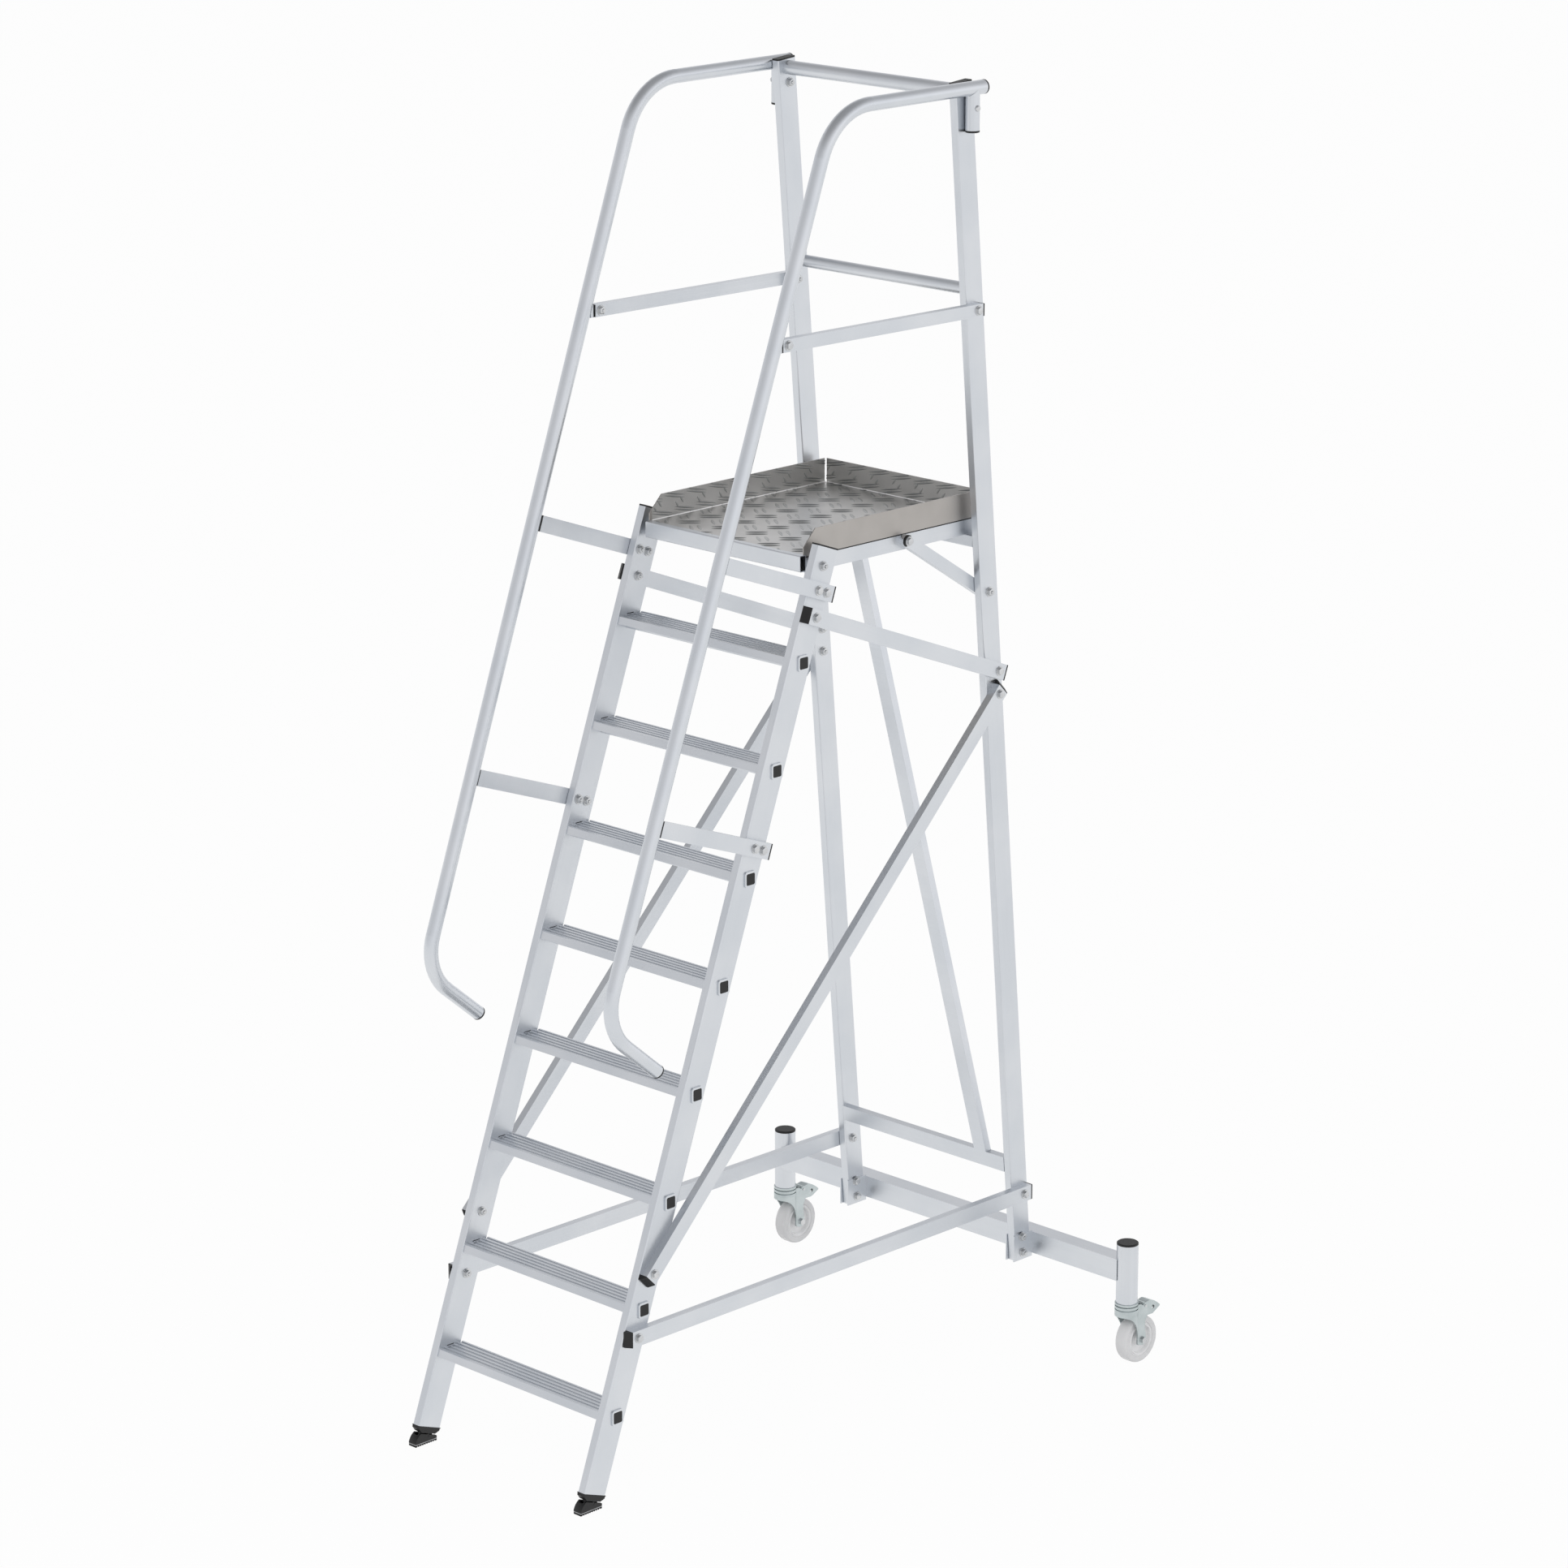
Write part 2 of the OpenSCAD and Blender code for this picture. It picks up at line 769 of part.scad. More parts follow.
module round_caps() {
    plug_r = rail_r - wall - 0.1;
    color(BLACK) pair() {
        splayed() {
            straight([low_end[0] - cap_thick * cos(low_dir), low_end[1] - cap_thick * sin(low_dir)],
                     low_dir, cap_thick, rail_r);
            straight(low_end, low_dir, 12, plug_r);
            straight([rail_rear, rail_z], 0, cap_thick, rail_r);
            straight([rail_rear - 12, rail_z], 0, 12, plug_r);
        }
        translate([x_stub, stub_y, stub_z - cap_thick]) cylinder(r = rail_r, h = cap_thick);
        translate([x_stub, stub_y, stub_z]) cylinder(r = plug_r, h = 12);
        translate([caster_reach, caster_y, tube_high]) cylinder(r = tube_r, h = 4);
        translate([caster_reach, caster_y, tube_high + 4]) cylinder(r1 = tube_r, r2 = tube_r - 2, h = 1.5);
        translate([caster_reach, caster_y, tube_high - 14]) cylinder(r = tube_r - tube_wall - 0.1, h = 14);
    }
}

// Braces on the outside of the stiles and posts

module upper_braces() {
    color(ALUMINIUM) pair() bar(upper_a, upper_b, 22, 22, bar_height, x_out, x_bar);
}

module diagonal_braces() {
    color(ALUMINIUM) pair() bar(diag_a, diag_b, 18, 15, bar_height, x_out, x_bar);
}

module lower_braces() {
    color(ALUMINIUM) pair() bar(lower_a, lower_b, 20, 24, bar_height, x_out, x_bar);
}

// The pad between an arm's front end and the handrail
module arm_pad(s) {
    front = arm_front + rail_r + 0.6;
    difference() {
        along_stile() translate([x_out, front - 7, s - bar_height / 2]) cube([bar_thick, 7, bar_height]);
        rail_cutter();
    }
}

// The pad between a side knee rail's front end and the handrail
module knee_pad() {
    difference() {
        on_bar(knee_a, knee_b) translate([x_out, -knee_over - 13, -knee_height / 2])
            cube([bar_thick, 13, knee_height]);
        rail_cutter();
        on_bar(knee_a, knee_b) translate([x_out - 1, -knee_over - 30, -knee_height])
            cube([4, 30, 2 * knee_height]);
    }
}

module bar_end_caps() {
    color(BLACK) pair() {
        bevel_cap(upper_a, upper_b, 22, bar_height);
        flat_cap(upper_b, upper_a, 22, bar_height, x_out, x_bar);
        bevel_cap(diag_a, diag_b, 18, bar_height);
        bevel_cap(diag_b, diag_a, 15, bar_height);
        bevel_cap(lower_a, lower_b, 20, bar_height);
        flat_cap(lower_b, lower_a, 24, bar_height, x_out, x_bar);
        flat_cap(knee_b, knee_a, 16, knee_height, x_out, x_bar);
        on_bar(strut_a, strut_b) difference() {
            cross_pin([0, 0], 14.9, x_in - strut_band, x_in);
            cross_pin([0, 0], strut_nose, x_tray - 1, x_in + 1);
            translate([x_tray - 1, 0, -20]) cube([rail_gap + 2, 40, 40]);
        }
        flat_cap(strut_b, strut_a, 22, 30, x_tray, x_in);
        for (s = [arm_high, arm_low]) {
            arm_pad(s);
            flat_cap(stile_pt(s, stile_depth), stile_pt(s, 0), -arm_short, bar_height, x_out, x_bar);
        }
        knee_pad();
    }
}

// Base

module base_beam() {
    half = caster_reach - 12;
    color(ALUMINIUM) difference() {
        translate([-half, beam_y, beam_low]) cube([2 * half, beam_depth, beam_high - beam_low]);
        translate([-half - 1, beam_y + wall, beam_low + wall])
            cube([2 * half + 2, beam_depth - 2 * wall, beam_high - beam_low - 2 * wall]);
        pair() translate([caster_reach, caster_y, beam_low - 1]) cylinder(r = tube_r, h = 100);
    }
}

module caster_tubes() {
    color(ALUMINIUM) pair() translate([caster_reach, caster_y, tube_low]) difference() {
        cylinder(r = tube_r, h = tube_high - tube_low);
        translate([0, 0, -1]) cylinder(r = tube_r - tube_wall, h = tube_high - tube_low + 2);
    }
}

// A welded channel that takes a post's foot between its two cheeks
module post_brackets() {
    front = post_at(beam_low, 0)[0] - 8;
    color(ALUMINIUM) pair() difference() {
        for (x = [x_in - bracket_thick, x_out]) {
            slab(x, x + bracket_thick) polygon([
                [front, beam_low - 8], [front, beam_high + 4], [beam_y, beam_high + 4],
                [beam_y, beam_low - 8]]);
        }
        bolt_hole(foot_high);
        bolt_hole(foot_low);
    }
}

// Fasteners

module bolt_head(p, x, way) {
    translate([x, p[0], p[1]]) rotate([0, way * 90, 0]) {
        cylinder(r = washer_dia / 2, h = 1.6);
        cylinder(r = head_dia / 2, h = 7.5, $fn = 6);
    }
}

// A nut with its washer and the end of the bolt
module bolt_nut(p, x, way) {
    translate([x, p[0], p[1]]) rotate([0, way * 90, 0]) {
        cylinder(r = washer_dia / 2, h = 1.6);
        cylinder(r = head_dia / 2, h = 9, $fn = 6);
        cylinder(r = bolt_dia / 2 - 0.6, h = 12);
    }
}

// A bolt across the ladder; way is 1 with its head outside and -1 with its nut outside
module bolt(p, x0, x1, way = 1) {
    cross_pin(p, bolt_dia / 2, x0, x1);
    bolt_head(p, way > 0 ? x1 : x0, way);
    bolt_nut(p, way > 0 ? x0 : x1, -way);
}

module frame_bolts() {
    color(STEEL) pair() {
        for (p = [upper_a, upper_b, diag_a, diag_b, lower_a, lower_b, knee_b]) {
            bolt(p, x_in, x_bar);
        }
        for (s = [arm_high, arm_low]) {
            for (b = arm_bolts) {
                bolt(stile_pt(s, b), x_in, x_bar);
            }
        }
        bolt(knee_a, x_out, x_bar);
        bolt(tray_bolt, x_tray - bar_thick, x_out, -1);
        bolt(strut_a, x_tray - bar_thick, x_in);
        bolt(strut_b, x_tray, x_out, -1);
        bolt(foot_high, x_in - bracket_thick, x_out + bracket_thick, -1);
        bolt(foot_low, x_in - bracket_thick, x_out + bracket_thick, -1);
        cross_pin(stub_bolt, bolt_dia / 2, x_in, x_stub + rail_r + 1);
        bolt_nut(stub_bolt, x_in, -1);
        cross_pin(stub_bolt, head_dia / 2 - 2, x_stub + rail_r + 0.1, x_stub + rail_r + 5);
    }
}

// Casters, drawn about the swivel axis and then set under their tubes

module caster_heads() {
    color(ZINC) pair() translate([caster_reach, caster_y, 0]) {
        translate([0, 0, race_low]) cylinder(r = head_r - groove, h = 3);
        translate([0, 0, race_low + 3]) cylinder(r = head_r, h = tube_low - race_low - 3);
        translate([0, 0, tube_low]) cylinder(r = tube_r - tube_wall - 0.1, h = 30);
        translate([0, 0, crown_low - 8]) cylinder(r = king_r, h = 40);
        translate([0, 0, crown_low - 8.3]) cylinder(r = king_r + 4, h = 8);
    }
}

// The outline of a fork leg, from the swivel axis: a straight leg, the ear beside the pedal and its pin
module leg_outline() {
    top = crown_low;
    difference() {
        union() {
            translate([trail, wheel_r]) circle(r = leg_r);
            translate([pin_y, pin_z]) circle(r = 9);
            polygon([[leg_front, top + 26], [leg_front, wheel_r - 3], [leg_front + 5, wheel_r - 10],
                     [trail - 7, wheel_r - 12.7], [trail, wheel_r - 12.7], [trail + leg_r - 0.5, wheel_r],
                     [trail + 7, top - 37], [trail + 8, top - 25], [trail + 16, top - 10.5],
                     [pin_y + 29, top - 11.5], [pin_y + 32, top - 10], [pin_y + 17, top + 4],
                     [pin_y + 4, top + 13], [trail - 10, top + 26]]);
        }
        translate([trail, wheel_r]) circle(r = axle_r);
        translate([pin_y, pin_z]) circle(r = pin_r);
    }
}

// The round front of the fork: a shell about the swivel axis, cut to an arch over the wheel
module fork_skirt() {
    reach = head_r + leg_front + 1;
    rise = crown_low - wheel_r + 8;
    arch = [for (a = [0:9:90]) [-head_r + reach * sin(a), wheel_r - 8 + rise * cos(a)]];
    intersection() {
        translate([0, 0, wheel_r - 8]) difference() {
            cylinder(r = head_r - 0.1, h = rise + 1);
            translate([0, 0, -1]) cylinder(r = head_r - skirt_wall, h = rise + 3);
        }
        slab(-head_r, head_r)
            polygon(concat(arch, [[leg_front + 1, crown_low + 2], [-head_r, crown_low + 2]]));
    }
}

module caster_fork() {
    color(ZINC) difference() {
        union() {
            for (x = [-leg_out, leg_in]) {
                slab(x, x + leg_out - leg_in) leg_outline();
            }
            fork_skirt();
            translate([0, 0, crown_low]) cylinder(r = head_r, h = 17);
            translate([0, 0, crown_low + 17]) cylinder(r = head_r - groove, h = 3);
            translate([0, 0, crown_low + 20]) cylinder(r = head_r, h = crown_high - crown_low - 20);
        }
        translate([0, 0, crown_low - 10]) cylinder(r = king_r + run_gap, h = 60);
    }
}

// A hexagon on the axle, 6 mm thick
module hex_end(x) {
    translate([x, trail, wheel_r]) rotate([0, 90, 0]) cylinder(r = 9.2, h = 6, $fn = 6);
}

module caster_axle() {
    color(STEEL) {
        cross_pin([trail, wheel_r], axle_r, -leg_out - 8.5, leg_out + 6);
        hex_end(leg_out);
        hex_end(-leg_out - 6);
        cross_pin([pin_y, pin_z], pin_r, -leg_out - 1.5, leg_out + 1.5);
    }
}

// One half of a wheel's profile, as [radius, across] points, and the same with its mirror image
function both(half) = concat(half, [for (k = [len(half) - 1:-1:0]) [half[k][0], -half[k][1]]]);

module turned(half) {
    translate([0, trail, wheel_r]) rotate([0, 90, 0]) rotate_extrude() polygon(both(half));
}

// The wheel's hub: a boss, a web set in on both faces and a rim with a raised lip
module caster_hub() {
    edge = wheel_width / 2 - 2;
    color(WHITE) turned([
        [axle_r + run_gap, edge + 4], [12.5, edge + 4], [14, edge + 2.5], [15.5, 8], [18, 6],
        [hub_r - 12, 6], [hub_r - 9, 8], [hub_r - 6.5, edge], [hub_r - 5, edge + 1.5],
        [hub_r - 3, edge + 1.5], [hub_r - 1.5, edge - 1], [hub_r, edge - 1]]);
}

// The tyre: flat sides and a crowned tread
module caster_tyre() {
    edge = wheel_width / 2;
    shoulder = wheel_r - 5.5;
    crown = [for (a = [0:15:90]) [shoulder + 5.5 * sin(a), edge - 10.5 + 10.5 * cos(a)]];
    side = [[hub_r, edge - 3], [hub_r + 1.5, edge - 3], [hub_r + 3, edge - 0.8]];
    color(WHITE) turned(concat(side, crown));
}

// The pedal's side outline, from the swivel axis
module pedal_outline() {
    polygon([[pin_y - 6, pin_z + 4], [pin_y, pin_z + 7.5], [pin_y + 8, pin_z + 6], [pin_y + 12, pin_z + 3],
             [pin_y + 19, pin_z + 4.5], [pin_y + 28, pin_z + 6], [pin_y + 37, pin_z + 3],
             [pin_y + 47, pin_z - 1.5], [pin_y + 59, pin_z - 9.5], [pedal_tip, pin_z - 17.5],
             [pedal_tip - 1, pin_z - 20.5], [pin_y + 45, pin_z - 32.3], [pin_y + 33, pin_z - 33],
             [pin_y + 19, pin_z - 26], [pin_y + 10, pin_z - 14], [pin_y + 1, pin_z - 9],
             [pin_y - 5, pin_z - 7]]);
}

module brake_pedal() {
    color(ZINC) difference() {
        slab(-pedal_half, pedal_half) pedal_outline();
        slab(-pedal_half + 2.5, pedal_half - 2.5) polygon([
            [pin_y + 13, pin_z - 40], [pin_y + 13, pin_z], [pin_y + 19, pin_z + 1.5], [pin_y + 28, pin_z + 3],
            [pin_y + 37, pin_z], [pin_y + 47, pin_z - 4.5], [pin_y + 57, pin_z - 11], [pin_y + 57, pin_z - 40]]);
        cross_pin([pin_y, pin_z], pin_r + run_gap, -50, 50);
        cross_pin([pin_y + 42, pin_z - 16], 5, -50, 50);
    }
}

// The rubber block under the pedal that meets the tyre
module brake_pad() {
    color(BLACK) slab(-pedal_half + 2.5, pedal_half - 2.5) polygon([
        [pin_y + 19, pin_z + 1.5], [pin_y + 28, pin_z + 3], [pin_y + 31, pin_z + 2],
        [pin_y + 31, pin_z - 33.9], [pin_y + 21, pin_z - 30.4], [pin_y + 19, pin_z - 28]]);
}

module caster_at(side) {
    translate([side * caster_reach, caster_y, 0]) children();
}

module caster_fork_left() {
    caster_at(-1) caster_fork();
}

module caster_fork_right() {
    caster_at(1) caster_fork();
}

module caster_axle_left() {
    caster_at(-1) caster_axle();
}

module caster_axle_right() {
    caster_at(1) caster_axle();
}

module caster_hub_left() {
    caster_at(-1) caster_hub();
}

module caster_hub_right() {
    caster_at(1) caster_hub();
}

module caster_tyre_left() {
    caster_at(-1) caster_tyre();
}

module caster_tyre_right() {
    caster_at(1) caster_tyre();
}

module brake_pedal_left() {
    caster_at(-1) brake_pedal();
}

module brake_pedal_right() {
    caster_at(1) brake_pedal();
}

module brake_pad_left() {
    caster_at(-1) brake_pad();
}

module brake_pad_right() {
    caster_at(1) brake_pad();
}

placed() stile_left();
placed() stile_right();
placed() tread_1();
placed() tread_2();
placed() tread_3();
placed() tread_4();
placed() tread_5();
placed() tread_6();
placed() tread_7();
placed() tread_8();
placed() tread_plugs();
placed() end_caps();
placed() foot_plugs();
placed() foot_shoe_left();
placed() foot_shoe_right();
placed() foot_shim_left();
placed() foot_shim_right();
placed() foot_sole_left();
placed() foot_sole_right();
placed() platform_tray();
placed() platform_front_rail();
placed() platform_side_rails();
placed() platform_rear_rail();
placed() platform_packing();
placed() platform_spacers();
placed() platform_struts();
placed() rear_post_left();
placed() rear_post_right();
placed() rear_top_rail();
placed() rear_knee_rail();
placed() rear_cross_bar();
placed() rear_diagonal();
placed() side_knee_rails();
placed() handrail_left();
placed() handrail_right();
placed() handrail_arms();
placed() rail_stubs();
placed() round_caps();
placed() upper_braces();
placed() diagonal_braces();
placed() lower_braces();
placed() bar_end_caps();
placed() base_beam();
placed() caster_tubes();
placed() post_brackets();
placed() frame_bolts();
placed() caster_heads();
placed() caster_fork_left();
placed() caster_fork_right();
placed() caster_axle_left();
placed() caster_axle_right();
placed() caster_hub_left();
placed() caster_hub_right();
placed() caster_tyre_left();
placed() caster_tyre_right();
placed() brake_pedal_left();
placed() brake_pedal_right();
placed() brake_pad_left();
placed() brake_pad_right();
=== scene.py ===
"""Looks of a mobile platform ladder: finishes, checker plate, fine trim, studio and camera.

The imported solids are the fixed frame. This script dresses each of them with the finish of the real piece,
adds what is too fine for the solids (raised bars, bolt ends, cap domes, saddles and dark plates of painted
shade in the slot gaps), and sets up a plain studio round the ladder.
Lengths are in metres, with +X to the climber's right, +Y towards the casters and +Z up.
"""

import json
import logging
import math
from dataclasses import dataclass
from enum import Enum
from functools import cache

import bmesh
import bpy
import numpy as np
from mathutils import Matrix, Vector

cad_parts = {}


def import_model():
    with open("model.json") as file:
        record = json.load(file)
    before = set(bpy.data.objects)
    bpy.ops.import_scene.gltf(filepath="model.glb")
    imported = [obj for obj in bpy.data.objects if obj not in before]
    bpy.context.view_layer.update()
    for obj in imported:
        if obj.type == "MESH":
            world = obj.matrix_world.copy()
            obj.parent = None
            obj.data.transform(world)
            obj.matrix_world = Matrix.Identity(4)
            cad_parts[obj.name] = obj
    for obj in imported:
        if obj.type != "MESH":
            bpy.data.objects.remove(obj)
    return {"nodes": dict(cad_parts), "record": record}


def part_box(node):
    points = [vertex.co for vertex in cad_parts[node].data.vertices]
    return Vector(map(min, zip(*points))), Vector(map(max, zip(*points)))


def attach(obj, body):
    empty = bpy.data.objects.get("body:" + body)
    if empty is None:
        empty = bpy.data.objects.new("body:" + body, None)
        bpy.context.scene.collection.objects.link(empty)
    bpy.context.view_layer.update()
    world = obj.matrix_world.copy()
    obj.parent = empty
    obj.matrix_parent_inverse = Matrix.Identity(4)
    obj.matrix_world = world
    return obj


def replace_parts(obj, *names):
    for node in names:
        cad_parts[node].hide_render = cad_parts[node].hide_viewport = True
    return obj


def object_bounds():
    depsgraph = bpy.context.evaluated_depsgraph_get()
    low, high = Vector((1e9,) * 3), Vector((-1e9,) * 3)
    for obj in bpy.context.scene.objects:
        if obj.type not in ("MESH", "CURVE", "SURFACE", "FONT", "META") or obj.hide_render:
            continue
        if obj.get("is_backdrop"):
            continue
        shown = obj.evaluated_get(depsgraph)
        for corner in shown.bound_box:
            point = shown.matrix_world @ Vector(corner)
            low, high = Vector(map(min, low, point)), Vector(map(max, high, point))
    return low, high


log = logging.getLogger("platform_ladder")

MM = 0.001

X_AXIS = Vector((1.0, 0.0, 0.0))
Y_AXIS = Vector((0.0, 1.0, 0.0))
Z_AXIS = Vector((0.0, 0.0, 1.0))

# Corners of a solid's triangles that lie this close are one corner
SAME_POINT = 0.001 * MM
# Faces of an added piece shade as one surface up to this angle
SHARP_ANGLE = math.radians(35)

Tree = bpy.types.NodeTree
Node = bpy.types.Node
Socket = bpy.types.NodeSocket
Mesh = bpy.types.Mesh
Material = bpy.types.Material
Shape = bmesh.types.BMesh
Pair = tuple[float, float]
Point = tuple[float, float, float]
# A point on a surface, and the direction that leads out of it
Facing = tuple[Vector, Vector]


class Slot(Enum):
    """The record's material slots."""

    ALUMINIUM = "aluminium"
    SHEET = "platform_sheet"
    BLACK = "black_plastic"
    GREY = "grey_plastic"
    RUBBER = "black_rubber"
    BOLT = "bolt_steel"
    ZINC = "zinc_plate"
    CORE = "wheel_core"
    TYRE = "wheel_tyre"


def linear(colour: str) -> tuple[float, float, float, float]:
    """Turn an sRGB hex value to linear light.

    Args:
        colour: the colour as "#rrggbb".

    Returns:
        Red, green, blue and an alpha of one.
    """
    channels = [int(colour[i : i + 2], 16) / 255 for i in (1, 3, 5)]
    light = [c / 12.92 if c <= 0.04045 else ((c + 0.055) / 1.055) ** 2.4 for c in channels]
    return (*light, 1.0)


def add_node(tree: Tree, kind: str, inputs: dict | None = None, **settings: object) -> Node:
    """Add a node with its settings and links.

    Args:
        tree: the tree that takes the node.
        kind: the node's type name.
        inputs: values, sockets or nodes, by the input's name or place; a node gives its first output.
        settings: the node's own properties.

    Returns:
        The new node.
    """
    node = tree.nodes.new(kind)
    for name, value in settings.items():
        setattr(node, name, value)
    for key, value in (inputs or {}).items():
        for one in value if isinstance(value, list) else [value]:
            source = one.outputs[0] if isinstance(one, Node) else one
            if isinstance(source, Socket):
                tree.links.new(source, node.inputs[key])
            else:
                node.inputs[key].default_value = source
    return node


def new_tree(name: str, sizes: dict[str, str]) -> tuple[Tree, bpy.types.NodeOutputs]:
    """Start a geometry-node tree with named inputs.

    Args:
        name: the tree's name.
        sizes: each input's socket type, by the input's name.

    Returns:
        The tree and the sockets of its inputs.
    """
    tree = bpy.data.node_groups.new(name, "GeometryNodeTree")
    tree.interface.new_socket("Geometry", in_out="OUTPUT", socket_type="NodeSocketGeometry")
    for label, kind in sizes.items():
        tree.interface.new_socket(label, in_out="INPUT", socket_type=kind)
    return tree, add_node(tree, "NodeGroupInput").outputs


def end_tree(tree: Tree, parts: list[tuple[Node, Socket]]) -> None:
    """Make the parts real, give each its material and join them.

    Args:
        tree: the tree.
        parts: each part's node with the socket of its material.
    """
    dressed = []
    for part, finish in parts:
        real = add_node(tree, "GeometryNodeRealizeInstances", {0: part})
        dressed.append(add_node(tree, "GeometryNodeSetMaterial", {"Geometry": real, "Material": finish}))
    joined = add_node(tree, "GeometryNodeJoinGeometry", {0: dressed})
    add_node(tree, "NodeGroupOutput", {0: joined})


def grow(tree: Tree, values: dict, seed: Mesh | None = None) -> Mesh:
    """Run a geometry-node tree and keep what it makes as a plain mesh.

    Args:
        tree: the tree.
        values: its inputs, by name.
        seed: the mesh that it starts from, if it needs one.

    Returns:
        The plain mesh.
    """
    holder = bpy.data.objects.new(tree.name, seed or bpy.data.meshes.new(tree.name))
    bpy.context.scene.collection.objects.link(holder)
    modifier = holder.modifiers.new(tree.name, "NODES")
    modifier.node_group = tree
    for item in tree.interface.items_tree:
        if item.name in values:
            modifier[item.identifier] = values[item.name]
    graph = bpy.context.evaluated_depsgraph_get()
    graph.update()
    mesh = bpy.data.meshes.new_from_object(holder.evaluated_get(graph))
    bpy.data.objects.remove(holder)
    # A primitive's empty slot comes first and holds no faces
    if mesh.materials and mesh.materials[0] is None:
        mesh.materials.pop(index=0)
    return mesh


def ring(radius: float, z: float, corners: int) -> list[Vector]:
    """Give the points of a level circle about the Z axis."""
    turns = [2 * math.pi * k / corners for k in range(corners)]
    return [Vector((radius * math.cos(a), radius * math.sin(a), z)) for a in turns]


def loft(shape: Shape, rings: list[list[Vector]]) -> None:
    """Skin a row of rings and close both ends.

    Args:
        shape: the shape that takes the faces.
        rings: rings with the same number of points, from the lowest up.
    """
    rows = [[shape.verts.new(point) for point in one] for one in rings]
    corners = len(rows[0])
    for low, high in zip(rows, rows[1:]):
        for k in range(corners):
            after = (k + 1) % corners
            shape.faces.new((low[k], low[after], high[after], high[k]))
    shape.faces.new(rows[0][::-1])
    shape.faces.new(rows[-1])


def cut_off(shape: Shape, point: Vector, outward: Vector) -> None:
    """Cut a shape off at a plane and close the cut.

    Args:
        shape: the shape.
        point: a point on the plane.
        outward: the direction in which everything beyond the plane is dropped.
    """
    everything = shape.verts[:] + shape.edges[:] + shape.faces[:]
    cut = bmesh.ops.bisect_plane(shape, geom=everything, plane_co=point, plane_no=outward, clear_outer=True)
    rim = [e for e in cut["geom_cut"] if isinstance(e, bmesh.types.BMEdge) and e.is_boundary]
    filled = bmesh.ops.holes_fill(shape, edges=rim)
    for face in filled["faces"]:
        face.material_index = face.edges[0].link_faces[0].material_index


def merged_copy(node: bpy.types.Object) -> Shape:
    """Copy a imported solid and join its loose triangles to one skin.

    Args:
        node: the solid's object, whose own mesh stays as it is.

    Returns:
        The copy.
    """
    shape = bmesh.new()
    shape.from_mesh(node.data)
    bmesh.ops.remove_doubles(shape, verts=shape.verts, dist=SAME_POINT)
    return shape


def islands(shape: Shape) -> list[list[bmesh.types.BMVert]]:
    """Sort a shape's corners by the separate solids that they belong to.

    Args:
        shape: the shape, joined to one skin for each solid.

    Returns:
        The corners of each solid.
    """
    found = []
    seen = set()
    for first in shape.verts:
        if first in seen:
            continue
        seen.add(first)
        solid = [first]
        # The list grows while it is walked, until no new neighbour turns up
        for vert in solid:
            for edge in vert.link_edges:
                other = edge.other_vert(vert)
                if other not in seen:
                    seen.add(other)
                    solid.append(other)
        found.append(solid)
    return found


def to_mesh(name: str, shape: Shape) -> Mesh:
    """Turn a finished shape to a mesh and free it.

    Args:
        name: the mesh's name.
        shape: the shape.

    Returns:
        The mesh.
    """
    mesh = bpy.data.meshes.new(name)
    shape.to_mesh(mesh)
    shape.free()
    return mesh


def lofted(name: str, *stacks: list[list[Vector]]) -> Mesh:
    """Make a mesh of one or more lofts.

    Args:
        name: the mesh's name.
        stacks: the rings of each loft.

    Returns:
        The mesh.
    """
    shape = bmesh.new()
    for rings in stacks:
        loft(shape, rings)
    return to_mesh(name, shape)


@cache
def seat_tree() -> Tree:
    """Draw the tree that sets one shape on every seat, once for all pieces.

    Returns:
        The tree.
    """
    sizes = {"Seats": "NodeSocketGeometry", "Shape": "NodeSocketObject", "Finish": "NodeSocketMaterial"}
    tree, size = new_tree("seated_shapes", sizes)
    facing = add_node(tree, "GeometryNodeInputNamedAttribute", {"Name": "facing"}, data_type="FLOAT_VECTOR")
    shape = add_node(tree, "GeometryNodeObjectInfo", {"Object": size["Shape"]})
    seated = add_node(
        tree,
        "GeometryNodeInstanceOnPoints",
        {"Points": size["Seats"], "Instance": shape.outputs["Geometry"], "Rotation": facing},
    )
    end_tree(tree, [(seated, size["Finish"])])
    return tree


def set_down(model: Mesh, seats: list[Facing], finish: Material) -> Mesh:
    """Set a copy of a shape on every seat.

    Args:
        model: the shape, which stands on its origin along Z.
        seats: a point and an outward direction for each copy.
        finish: the copies' material.

    Returns:
        All the copies as one mesh.
    """
    points = bpy.data.meshes.new("seats")
    points.from_pydata([seat for seat, _ in seats], [], [])
    facing = points.attributes.new("facing", "FLOAT_VECTOR", "POINT")
    for item, (_, outward) in zip(facing.data, seats):
        item.vector = Z_AXIS.rotation_difference(outward).to_euler()
    holder = bpy.data.objects.new(model.name, model)
    mesh = grow(seat_tree(), {"Shape": holder, "Finish": finish}, points)
    bpy.data.objects.remove(holder)
    return mesh


def add_piece(name: str, mesh: Mesh, body: str) -> bpy.types.Object:
    """Put a finished mesh in the scene as a piece of the ladder.

    Args:
        name: the piece's name.
        mesh: its mesh, in place.
        body: the body that it moves with.

    Returns:
        The new object.
    """
    mesh.name = name
    mesh.shade_smooth()
    mesh.set_sharp_from_angle(angle=SHARP_ANGLE)
    piece = bpy.data.objects.new(name, mesh)
    bpy.context.scene.collection.objects.link(piece)
    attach(piece, body)
    log.info("added %s: %d faces", name, len(mesh.polygons))
    return piece


